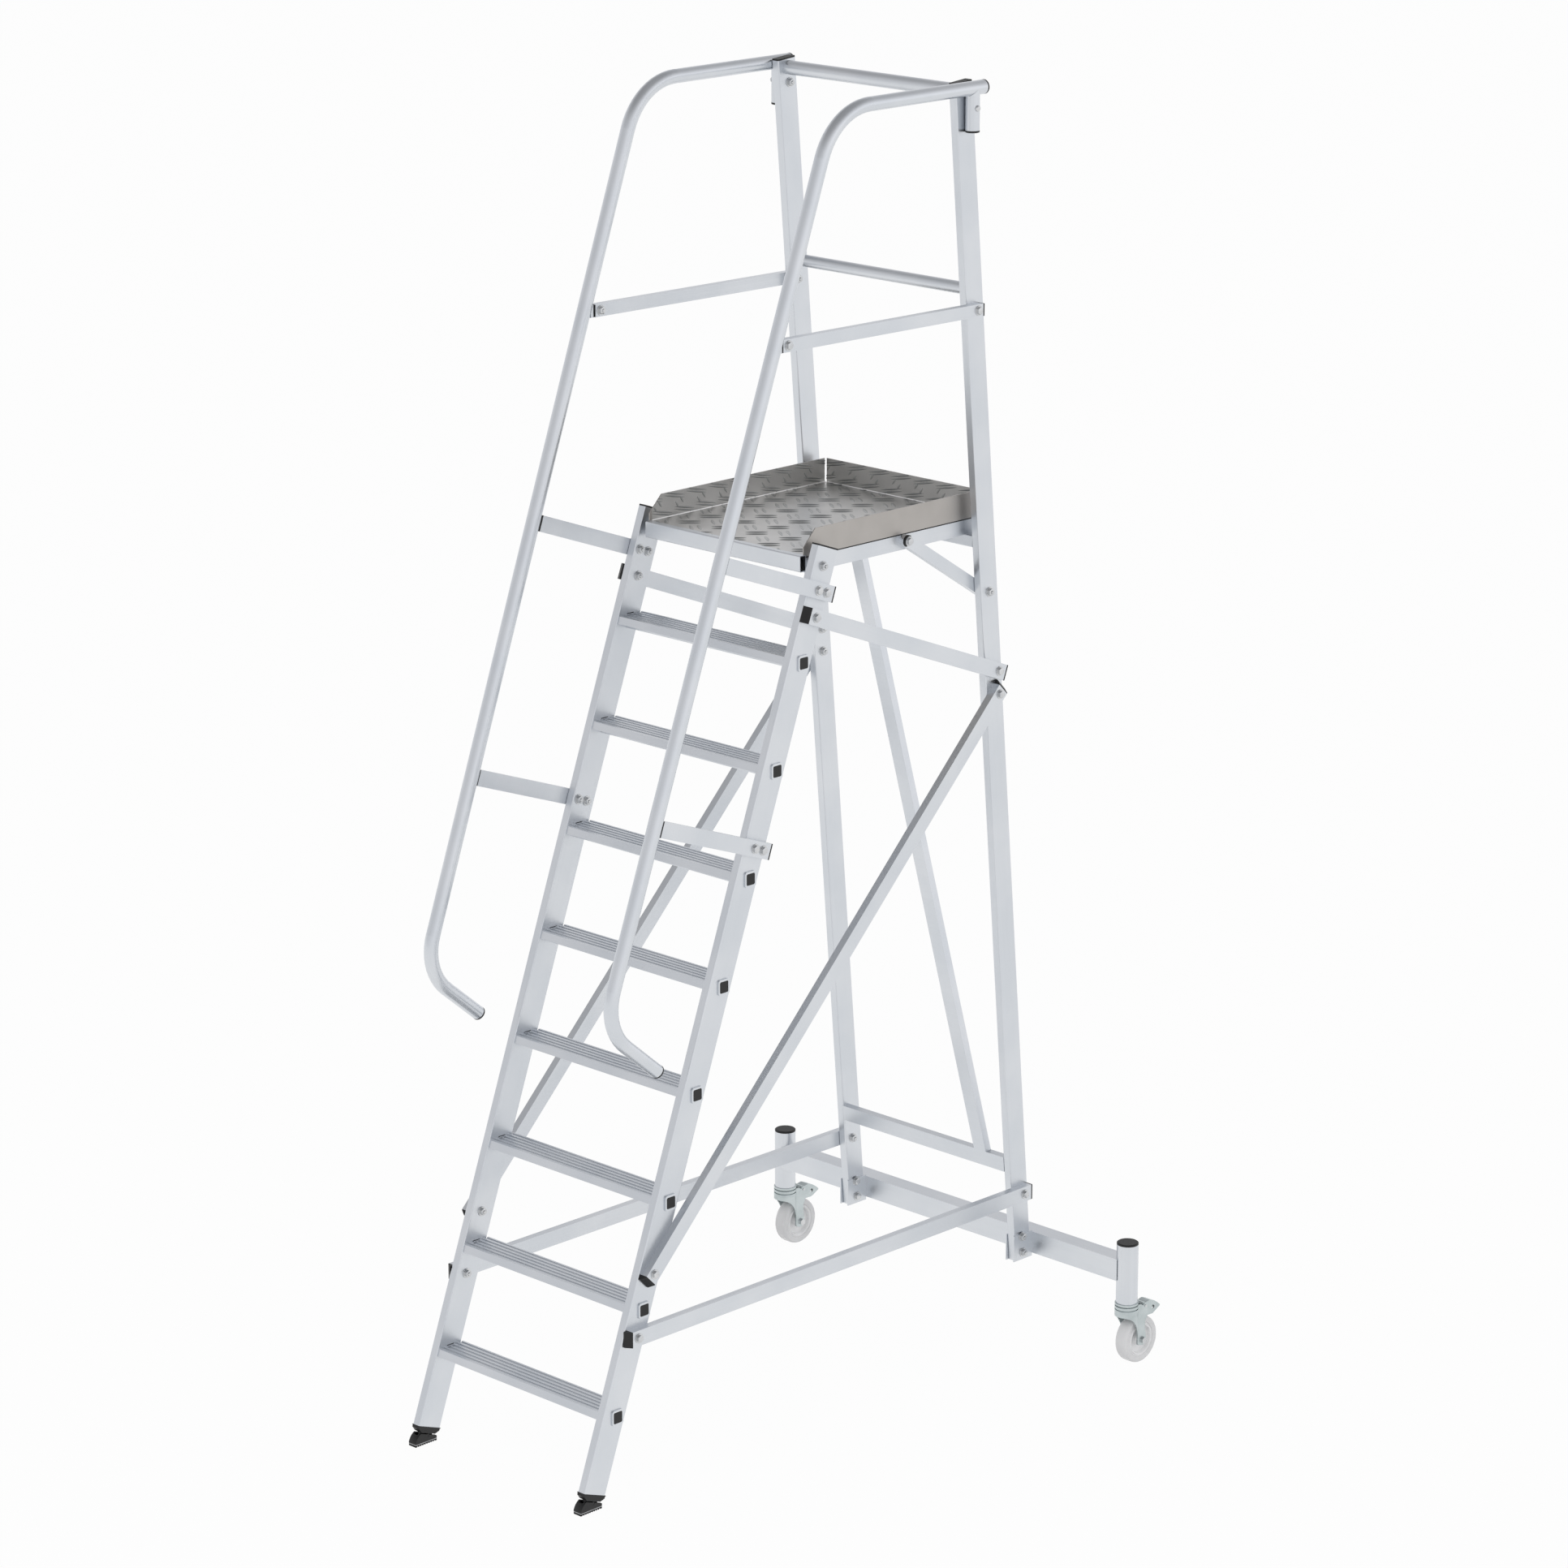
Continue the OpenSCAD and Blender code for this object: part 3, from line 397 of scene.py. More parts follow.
@dataclass(frozen=True)
class Surface:
    """A new material's nodes, and the patterns that finishes draw with them."""

    tree: Tree
    shader: Node
    place: Socket

    def mottle(self, colour: str, dark: str, size: float) -> None:
        """Drift the colour softly between a light one and a darker one.

        Args:
            colour: the light colour.
            dark: the darker colour.
            size: the width of a patch.
        """
        cloud = {"Vector": self.place, "Scale": 1 / size, "Detail": 3.0}
        noise = add_node(self.tree, "ShaderNodeTexNoise", cloud)
        ramp = add_node(self.tree, "ShaderNodeMapRange", {"Value": noise, "From Min": 0.35, "From Max": 0.65})
        ends = {0: ramp, 6: linear(dark), 7: linear(colour)}
        mix = add_node(self.tree, "ShaderNodeMix", ends, data_type="RGBA")
        self.tree.links.new(mix.outputs[2], self.shader.inputs["Base Color"])

    def grain(self, size: float, depth: float) -> None:
        """Roughen the surface with a fine even grain.

        Args:
            size: the width of a grain.
            depth: how far it stands out.
        """
        cloud = {"Vector": self.place, "Scale": 1 / size, "Detail": 2.0}
        noise = add_node(self.tree, "ShaderNodeTexNoise", cloud)
        bump = add_node(self.tree, "ShaderNodeBump", {"Strength": 0.6, "Distance": depth, "Height": noise})
        self.tree.links.new(bump.outputs[0], self.shader.inputs["Normal"])

    def gloss(self, pattern: Socket, low: float, high: float, reach: Pair = (0.0, 1.0)) -> None:
        """Let the roughness follow a pattern.

        Args:
            pattern: the pattern's socket.
            low: the roughness at the pattern's low end.
            high: the roughness at its high end.
            reach: the pattern's values at the two ends.
        """
        ends = {"From Min": reach[0], "From Max": reach[1], "To Min": low, "To Max": high}
        rough = add_node(self.tree, "ShaderNodeMapRange", {"Value": pattern} | ends)
        self.tree.links.new(rough.outputs[0], self.shader.inputs["Roughness"])


@dataclass(frozen=True)
class Finish:
    """A surface finish: a name, a colour and the plain numbers of its shader.

    With a darker colour, the surface drifts between the two in soft patches.
    """

    name: str
    colour: str
    roughness: float
    metallic: float = 0.0
    dark: str = ""
    patch: float = 0.0

    def build(self) -> Material:
        """Make the material, cloud its colour and let the finish draw its own pattern.

        Returns:
            The new material.
        """
        material = bpy.data.materials.new(self.name)
        material.use_nodes = True
        tree = material.node_tree
        shader = tree.nodes["Principled BSDF"]
        shader.inputs["Base Color"].default_value = linear(self.colour)
        shader.inputs["Roughness"].default_value = self.roughness
        shader.inputs["Metallic"].default_value = self.metallic
        place = add_node(tree, "ShaderNodeTexCoord").outputs["Object"]
        surface = Surface(tree, shader, place)
        if self.dark:
            surface.mottle(self.colour, self.dark, self.patch)
        self.draw(surface)
        return material

    def draw(self, surface: Surface) -> None:
        """Add the finish's pattern to the material's nodes; a plain finish has none."""


@dataclass(frozen=True)
class ExtrudedAluminium(Finish):
    """Mill-finish extruded aluminium: pale satin, with faint die lines along the bar."""

    along: Point = (0.0, 0.0, 1.0)
    # Real die lines are too fine to show, so they are drawn 3 mm wide
    line_width: float = 3 * MM
    line_length: float = 900 * MM
    line_depth: float = 0.015 * MM
    patch: float = 180 * MM

    def draw(self, surface: Surface) -> None:
        """Draw the die lines in roughness and bump.

        Args:
            surface: the material's nodes.
        """
        tree = surface.tree
        turn = Vector(self.along).to_track_quat("X", "Z").inverted().to_euler()
        turned = add_node(tree, "ShaderNodeMapping", {"Vector": surface.place, "Rotation": turn})
        stretch = (1 / self.line_length, 1 / self.line_width, 1 / self.line_width)
        stretched = add_node(tree, "ShaderNodeMapping", {"Vector": turned, "Scale": stretch})
        lines = add_node(tree, "ShaderNodeTexNoise", {"Vector": stretched, "Scale": 1.0, "Detail": 4.0})
        raised = {"Strength": 0.2, "Distance": self.line_depth, "Height": lines}
        bump = add_node(tree, "ShaderNodeBump", raised)
        tree.links.new(bump.outputs[0], surface.shader.inputs["Normal"])
        surface.gloss(lines.outputs[0], self.roughness - 0.04, self.roughness + 0.05, reach=(0.3, 0.7))


@dataclass(frozen=True)
class DrawnTube(Finish):
    """Drawn and bent aluminium tube: an even satin, with no lines to follow round the bends."""

    patch: float = 120 * MM

    def draw(self, surface: Surface) -> None:
        """Let the gloss drift as slowly as the colour.

        Args:
            surface: the material's nodes.
        """
        cloud = {"Vector": surface.place, "Scale": 1 / self.patch, "Detail": 4.0}
        noise = add_node(surface.tree, "ShaderNodeTexNoise", cloud)
        surface.gloss(noise.outputs[0], self.roughness - 0.05, self.roughness + 0.05)


@dataclass(frozen=True)
class RolledSheet(Finish):
    """Rolled aluminium sheet: a warm grey satin with a slightly cloudy mill surface."""

    patch: float = 90 * MM
    tooth: float = 4 * MM
    tooth_depth: float = 0.02 * MM

    def draw(self, surface: Surface) -> None:
        """Add the sheet's fine tooth."""
        surface.grain(self.tooth, self.tooth_depth)


@dataclass(frozen=True)
class Moulded(Finish):
    """Injection-moulded plastic or rubber: an even eroded grain from the tool."""

    patch: float = 25 * MM
    grain_size: float = 1.5 * MM
    grain_depth: float = 0.06 * MM

    def draw(self, surface: Surface) -> None:
        """Add the tool's grain."""
        surface.grain(self.grain_size, self.grain_depth)


@dataclass(frozen=True)
class ZincPlated(Finish):
    """Zinc-plated steel: a cool pale grey with soft crystal patches."""

    crystal: float = 7 * MM
    patch: float = 30 * MM

    def draw(self, surface: Surface) -> None:
        """Vary the gloss from crystal to crystal.

        Args:
            surface: the material's nodes.
        """
        crystals = {"Vector": surface.place, "Scale": 1 / self.crystal}
        cells = add_node(surface.tree, "ShaderNodeTexVoronoi", crystals)
        surface.gloss(cells.outputs["Color"], self.roughness - 0.06, self.roughness + 0.08)


@dataclass(frozen=True)
class NaturalPolyamide(Finish):
    """Unpigmented moulded polyamide: milky, so light goes a little way in."""

    milk: float = 0.1
    depth: float = 3 * MM
    patch: float = 40 * MM

    def draw(self, surface: Surface) -> None:
        """Let light in under the skin.

        Args:
            surface: the material's nodes.
        """
        inputs = surface.shader.inputs
        inputs["Subsurface Weight"].default_value = self.milk
        inputs["Subsurface Radius"].default_value = (1.0, 1.0, 1.0)
        inputs["Subsurface Scale"].default_value = self.depth


# Pale satin of the bars; each direction of bar gets its own material, for the die lines
BAR_COLOUR = "#dadde1"
BAR_DARK = "#d3d7dc"
BAR_ROUGHNESS = 0.34
# The same pale metal, a little glossier where the tube was drawn
TUBE = DrawnTube("drawn_aluminium_tube", BAR_COLOUR, 0.3, 1.0, BAR_DARK)

FINISHES = {
    # Warm grey satin, darker than the bars
    Slot.SHEET: RolledSheet("rolled_aluminium_sheet", "#b8b4b0", 0.42, 1.0, dark="#b2aeaa"),
    # Nearly black, with a soft sheen
    Slot.BLACK: Moulded("moulded_black_plastic", "#0f1011", 0.5, dark="#0a0a0b"),
    # Light neutral grey, with the same sheen
    Slot.GREY: Moulded("moulded_grey_plastic", "#b8b9ba", 0.5, dark="#acadae"),
    # As dark as the plastic, but dull and coarser
    Slot.RUBBER: Moulded("moulded_black_rubber", "#101011", 0.8, dark="#0b0b0c", grain_size=2.5 * MM),
    # Bright and small-grained
    Slot.BOLT: ZincPlated("plated_steel_fastener", "#d6d7d8", 0.28, 1.0, crystal=3 * MM, dark="#c6c8ca"),
    # Cooler and duller than the bolts
    Slot.ZINC: ZincPlated("zinc_plated_steel", "#c8d0d1", 0.36, 1.0, dark="#bcc5c6"),
    # Clean milky white
    Slot.CORE: NaturalPolyamide("natural_polyamide", "#fafafa", 0.25, dark="#f4f4f4"),
    # A shade greyer than the core
    Slot.TYRE: NaturalPolyamide("pale_tread", "#ededed", 0.25, dark="#e6e6e6"),
}

# Nodes that run across the ladder, so that both halves count for their direction
CROSS_NODES = ("base_beam", "rear_cross_bar", "rear_top_rail", "rear_knee_rail", "platform_front_rail")
BENT_TUBES = ("handrail_left", "handrail_right")

# Moulded and pressed nodes, whose edges are never quite sharp
SOFT_EDGED = ("foot_", "caster_fork", "bar_end_caps", "tread_plugs", "end_caps")
EDGE_BREAK = 0.6 * MM
EDGE_STEPS = 2
EDGE_ANGLE = math.radians(40)
WELD_REACH = 0.01 * MM


class Frame:
    """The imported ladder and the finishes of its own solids."""

    def __init__(self) -> None:
        """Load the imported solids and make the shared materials."""
        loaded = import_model()
        self.nodes: dict[str, bpy.types.Object] = loaded["nodes"]
        self.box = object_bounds()
        self.materials = {slot: finish.build() for slot, finish in FINISHES.items()}
        self.slots = {s["node"]: Slot(s["material_slot"]) for s in loaded["record"]["subparts"]}
        self.extrusions: dict[Point, Material] = {}
        self.tube = TUBE.build()

    def long_axis(self, name: str) -> Point:
        """Find the direction in which a node's solid on the right is longest.

        Args:
            name: the node.

        Returns:
            A unit vector, rounded so that like bars share a material.
        """
        points = np.array([v.co for v in self.nodes[name].data.vertices])
        right = points[points[:, 0] > 0]
        if len(right) and name not in CROSS_NODES and not name.startswith("tread"):
            points = right
        spread = np.linalg.svd(points - points.mean(0), full_matrices=False)[2][0]
        spread = spread * np.sign(spread[np.argmax(np.abs(spread))])
        # Adding zero turns a rounded -0.0 to 0.0
        return tuple(float(c) for c in spread.round(1) + 0.0)

    def extrusion(self, name: str) -> Material:
        """Give the aluminium whose die lines run along a node.

        Args:
            name: the node.

        Returns:
            The material.
        """
        if name in BENT_TUBES:
            return self.tube
        along = self.long_axis(name)
        if along not in self.extrusions:
            label = f"extruded_aluminium_{len(self.extrusions) + 1}"
            finish = ExtrudedAluminium(label, BAR_COLOUR, BAR_ROUGHNESS, 1.0, BAR_DARK, along=along)
            self.extrusions[along] = finish.build()
        return self.extrusions[along]

    def round_edges(self, node: bpy.types.Object) -> None:
        """Break the sharp edges of a node as its mould or press would.

        Args:
            node: the node's object, whose own mesh stays as it is.
        """
        weld = node.modifiers.new("one_skin", "WELD")
        weld.merge_threshold = WELD_REACH
        bevel = node.modifiers.new("broken_edges", "BEVEL")
        bevel.width = EDGE_BREAK
        bevel.segments = EDGE_STEPS
        bevel.limit_method = "ANGLE"
        bevel.angle_limit = EDGE_ANGLE
        bevel.harden_normals = True

    def dress(self) -> None:
        """Give every solid the finish of its slot."""
        for name, node in self.nodes.items():
            slot = self.slots[name]
            material = self.extrusion(name) if slot is Slot.ALUMINIUM else self.materials[slot]
            node.data.materials.clear()
            node.data.materials.append(material)
            if name.startswith(SOFT_EDGED):
                self.round_edges(node)
            log.info("dressed %s as %s", name, material.name)


@dataclass(frozen=True)
class BarPair:
    """Two like bars side by side, turned on the sheet by an angle in degrees."""

    length: float
    width: float
    gap: float
    turn: float


@dataclass(frozen=True)
class BarField:
    """One sheet's field of raised bars: a pair at each lattice point and a second pair between them.

    A lattice has its step along the sheet and across it, and leans by a share of the step across.
    """

    columns: int
    rows: int
    step: float
    step_across: float
    lean: float
    first: BarPair
    second: BarPair


@dataclass
class Platform:
    """The tray's checker plate: raised bars on the floor and on the inside of the toe boards."""

    sheet: float = 2.5 * MM
    skin: float = 0.2 * MM
    # Half the side of the flat skin under the bars, before it is cut to a sheet
    blank_half: float = 1.0
    # The plain strip at the tray's front, and the cut corners of its side boards
    lip: float = 8 * MM
    corner_height: float = 20.5 * MM
    corner_run: float = 41 * MM
    board_gap: float = 6 * MM
    bar_rise: float = 1.8 * MM
    bar_sides: int = 8
    bar_rings: int = 10
    floor_anchor: float = 262 * MM
    floor_turn: float = 8.4
    board_anchor: Pair = (78 * MM, 10 * MM)
    bend_radius: float = 3 * MM
    bend_steps: int = 4
    # Light satin of the sheet between the bars
    plate: Finish = RolledSheet("checker_plate", "#d4d3d1", 0.36, 1.0, dark="#c9c8c6")
    # Painted reflection: the bars of one direction are painted dark and those of the other less dark, for how
    # each direction mirrors the room; only their roughness differs for real
    first_bar: Finish = RolledSheet("checker_bar_dull", "#8f9190", 0.36, 1.0, dark="#858786")
    second_bar: Finish = RolledSheet("checker_bar_satin", "#b9bab9", 0.32, 1.0, dark="#afb0af")
    # A painted highlight: a bright line along the fold
    fold: Finish = RolledSheet("burnished_fold", "#f0efee", 0.3, 1.0, dark="#e8e7e6")
    floor_field: BarField = BarField(
        columns=9,
        rows=11,
        step=102 * MM,
        step_across=80 * MM,
        lean=0.084,
        first=BarPair(58 * MM, 12 * MM, 20.5 * MM, 36.0),
        second=BarPair(56 * MM, 10 * MM, 20 * MM, -44.0),
    )
    board_field: BarField = BarField(
        columns=17,
        rows=7,
        step=76 * MM,
        step_across=39 * MM,
        lean=1.1,
        first=BarPair(75 * MM, 4.5 * MM, 6.5 * MM, -11.0),
        second=BarPair(23 * MM, 6 * MM, 19 * MM, -55.0),
    )

    def build(self) -> None:
        """Read the tray's sides and lay the bars and the bend on them."""
        low, high = (Vector(corner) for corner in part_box("platform_tray"))
        self.inner = high.x - self.sheet
        self.floor = low.z + self.sheet
        self.top = high.z
        self.rear = high.y - self.sheet
        self.front = low.y + self.lip
        self.tree = self.bar_tree()
        self.finishes = [finish.build() for finish in (self.first_bar, self.second_bar, self.plate)]
        self.lay_floor()
        self.lay_boards()
        self.fold_bend()

    def bar_tree(self) -> Tree:
        """Draw the tree that lays a field of paired lens-shaped bars on a flat sheet.

        Returns:
            The tree.
        """
        sizes = {"Columns": "NodeSocketInt", "Rows": "NodeSocketInt"}
        sizes |= {name: "NodeSocketFloat" for name in ("Step", "Step Across", "Lean", "Rise")}
        for label in ("First", "Second"):
            sizes |= {f"{label} {name}": "NodeSocketFloat" for name in ("Length", "Width", "Gap", "Turn")}
            sizes[f"{label} Finish"] = "NodeSocketMaterial"
        tree, size = new_tree("checker_plate", sizes)
        spans, halves = [], []
        for count, step in (("Columns", "Step"), ("Rows", "Step Across")):
            less = add_node(tree, "ShaderNodeMath", {0: size[count], 1: 1.0}, operation="SUBTRACT")
            spans.append(add_node(tree, "ShaderNodeMath", {0: less, 1: size[step]}, operation="MULTIPLY"))
            halves.append(add_node(tree, "ShaderNodeMath", {0: size[step], 1: 0.5}, operation="MULTIPLY"))
        counts = {"Vertices X": size["Columns"], "Vertices Y": size["Rows"]}
        lattice = add_node(tree, "GeometryNodeMeshGrid", {"Size X": spans[0], "Size Y": spans[1]} | counts)
        place = add_node(tree, "GeometryNodeInputPosition")
        split = add_node(tree, "ShaderNodeSeparateXYZ", {0: place})
        shift = add_node(tree, "ShaderNodeMath", {0: split.outputs[1], 1: size["Lean"]}, operation="MULTIPLY")
        shear = add_node(tree, "ShaderNodeCombineXYZ", {0: shift})
        leaned = add_node(tree, "GeometryNodeSetPosition", {"Geometry": lattice, "Offset": shear})
        lean = {0: halves[1], 1: size["Lean"], 2: halves[0]}
        half_lean = add_node(tree, "ShaderNodeMath", lean, operation="MULTIPLY_ADD")
        between = add_node(tree, "ShaderNodeCombineXYZ", {0: half_lean, 1: halves[1]})
        moved = add_node(tree, "GeometryNodeSetPosition", {"Geometry": leaned, "Offset": between})
        fields = []
        for label, points in (("First", leaned), ("Second", moved)):
            pair = self.bar_pair(tree, size, label)
            laid = add_node(tree, "GeometryNodeInstanceOnPoints", {"Points": points, "Instance": pair})
            fields.append((laid, size[f"{label} Finish"]))
        end_tree(tree, fields)
        return tree

    def bar_pair(self, tree: Tree, size: bpy.types.NodeOutputs, label: str) -> Node:
        """Add the nodes of two bars side by side.

        A bar is a ball drawn out to its length and pinched to a point at both ends.

        Args:
            tree: the tree.
            size: the sockets of its inputs.
            label: the first word of this pair's inputs.

        Returns:
            The last node of the pair.
        """
        round_ball = {"Segments": self.bar_sides, "Rings": self.bar_rings, "Radius": 1.0}
        ball = add_node(tree, "GeometryNodeMeshUVSphere", round_ball)
        on_its_side = (0.0, math.pi / 2, 0.0)
        lying = add_node(tree, "GeometryNodeTransform", {"Geometry": ball, "Rotation": on_its_side})
        place = add_node(tree, "GeometryNodeInputPosition")
        x, y, z = add_node(tree, "ShaderNodeSeparateXYZ", {0: place}).outputs
        square = add_node(tree, "ShaderNodeMath", {0: x, 1: x}, operation="MULTIPLY")
        left = add_node(tree, "ShaderNodeMath", {0: 1.0, 1: square}, operation="SUBTRACT", use_clamp=True)
        pinch = add_node(tree, "ShaderNodeMath", {0: left}, operation="SQRT")
        narrow = add_node(tree, "ShaderNodeMath", {0: y, 1: pinch}, operation="MULTIPLY")
        point = add_node(tree, "ShaderNodeCombineXYZ", {0: x, 1: narrow, 2: z})
        halves = []
        for whole in (size[f"{label} Length"], size[f"{label} Width"]):
            halves.append(add_node(tree, "ShaderNodeMath", {0: whole, 1: 0.5}, operation="MULTIPLY"))
        extent = add_node(tree, "ShaderNodeCombineXYZ", {0: halves[0], 1: halves[1], 2: size["Rise"]})
        drawn = add_node(tree, "ShaderNodeVectorMath", {0: point, 1: extent}, operation="MULTIPLY")
        bar = add_node(tree, "GeometryNodeSetPosition", {"Geometry": lying, "Position": drawn})
        smooth = add_node(tree, "GeometryNodeSetShadeSmooth", {"Geometry": bar})
        sides = []
        for way in (-0.5, 0.5):
            offset = add_node(tree, "ShaderNodeMath", {0: size[f"{label} Gap"], 1: way}, operation="MULTIPLY")
            aside = add_node(tree, "ShaderNodeCombineXYZ", {1: offset})
            sides.append(add_node(tree, "GeometryNodeTransform", {"Geometry": smooth, "Translation": aside}))
        pair = add_node(tree, "GeometryNodeJoinGeometry", {0: sides})
        turn = add_node(tree, "ShaderNodeCombineXYZ", {2: size[f"{label} Turn"]})
        return add_node(tree, "GeometryNodeTransform", {"Geometry": pair, "Rotation": turn})

    def lay(self, name: str, field: BarField, place: Matrix, cuts: list[Facing], mirror: int = 1) -> None:
        """Lay one field of bars on a sheet and cut it off at the sheet's edges.

        Args:
            name: the piece's name.
            field: the field's sizes.
            place: where the sheet is; its Z axis points out of the sheet.
            cuts: a point and an outward direction for each edge.
            mirror: -1 turns the bars the other way.
        """
        values = {
            "Columns": field.columns,
            "Rows": field.rows,
            "Step": field.step,
            "Step Across": field.step_across,
            "Lean": field.lean * mirror,
            "Rise": self.bar_rise,
        }
        for label, pair, finish in (("First", field.first, 0), ("Second", field.second, 1)):
            values[f"{label} Length"] = pair.length
            values[f"{label} Width"] = pair.width
            values[f"{label} Gap"] = pair.gap
            values[f"{label} Turn"] = math.radians(pair.turn * mirror)
            values[f"{label} Finish"] = self.finishes[finish]
        mesh = grow(self.tree, values)
        mesh.materials.append(self.finishes[2])
        shape = bmesh.new()
        shape.from_mesh(mesh)
        old = len(shape.faces)
        r = self.blank_half
        square = [Vector((x, y, 0.0)) for x, y in ((-r, -r), (r, -r), (r, r), (-r, r))]
        loft(shape, [square, [point + Z_AXIS * self.skin for point in square]])
        for face in shape.faces[old:]:
            face.material_index = len(mesh.materials) - 1
        shape.transform(place)
        for point, outward in cuts:
            cut_off(shape, point, outward)
        shape.to_mesh(mesh)
        shape.free()
        add_piece(name, mesh, "frame")

    def lay_floor(self) -> None:
        """Lay the bars on the tray's floor."""
        middle = Matrix.Translation((0.0, self.floor_anchor, self.floor))
        middle = middle @ Matrix.Rotation(math.radians(self.floor_turn), 4, "Z")
        cuts = [
            (X_AXIS * self.inner, X_AXIS),
            (X_AXIS * -self.inner, -X_AXIS),
            (Y_AXIS * self.rear, Y_AXIS),
            (Y_AXIS * self.front, -Y_AXIS),
        ]
        self.lay("checker_plate_floor", self.floor_field, middle, cuts)

    def lay_boards(self) -> None:
        """Lay the bars on the inside of the three toe boards."""
        along, below = self.board_anchor
        ends = [(Z_AXIS * self.top, Z_AXIS), (Z_AXIS * (self.floor + self.bend_radius), -Z_AXIS)]
        corner = Vector((0.0, self.front - self.lip, self.floor + self.corner_height))
        slope = Vector((0.0, corner.z - self.top, self.corner_run)).normalized()
        side_ends = [
            (Y_AXIS * (self.rear - self.board_gap + self.sheet), Y_AXIS),
            (Y_AXIS * self.front, -Y_AXIS),
            (corner, slope),
        ]
        for name, side in (("left", -1), ("right", 1)):
            out = X_AXIS * -side
            turn = Matrix((Z_AXIS.cross(out), Z_AXIS, out)).transposed().to_4x4()
            place = Matrix.Translation((side * self.inner, self.front + along, self.top - below)) @ turn
            self.lay(f"checker_plate_{name}", self.board_field, place, ends + side_ends, -side)
        turn = Matrix((X_AXIS, Z_AXIS, -Y_AXIS)).transposed().to_4x4()
        place = Matrix.Translation((0.0, self.rear, self.top - below)) @ turn
        reach = self.inner - self.board_gap + self.sheet
        rear_ends = [(X_AXIS * reach, X_AXIS), (X_AXIS * -reach, -X_AXIS)]
        self.lay("checker_plate_rear", self.board_field, place, ends + rear_ends, -1)

    def fold_bend(self) -> None:
        """Round the inside of the fold between the floor and each toe board, in a bright colour that is a
        painted highlight.
        """
        shape = bmesh.new()
        r = self.bend_radius
        arc = [math.radians(90 * k / self.bend_steps) for k in range(self.bend_steps + 1)]
        profile = [(r - r * math.cos(a), r - r * math.sin(a)) for a in arc]
        inset = self.inner - self.board_gap
        runs = [
            ((-self.inner, self.front), (-self.inner, self.rear), X_AXIS),
            ((self.inner, self.rear), (self.inner, self.front), -X_AXIS),
            ((-inset, self.rear), (inset, self.rear), -Y_AXIS),
        ]
        for start, end, inward in runs:
            rows = []
            for x, y in (start, end):
                corner = Vector((x, y, self.floor))
                rows.append([corner + inward * a + Z_AXIS * b for a, b in profile] + [corner])
            loft(shape, rows)
        bmesh.ops.recalc_face_normals(shape, faces=shape.faces)
        mesh = to_mesh("tray_bend", shape)
        mesh.materials.append(self.fold.build())
        add_piece("tray_bend", mesh, "frame")


class BoltEnd(Enum):
    """The kinds of end that a bolt has."""

    HEAD = "hexagon head"
    NUT = "hexagon nut"
    BUTTON = "button head"


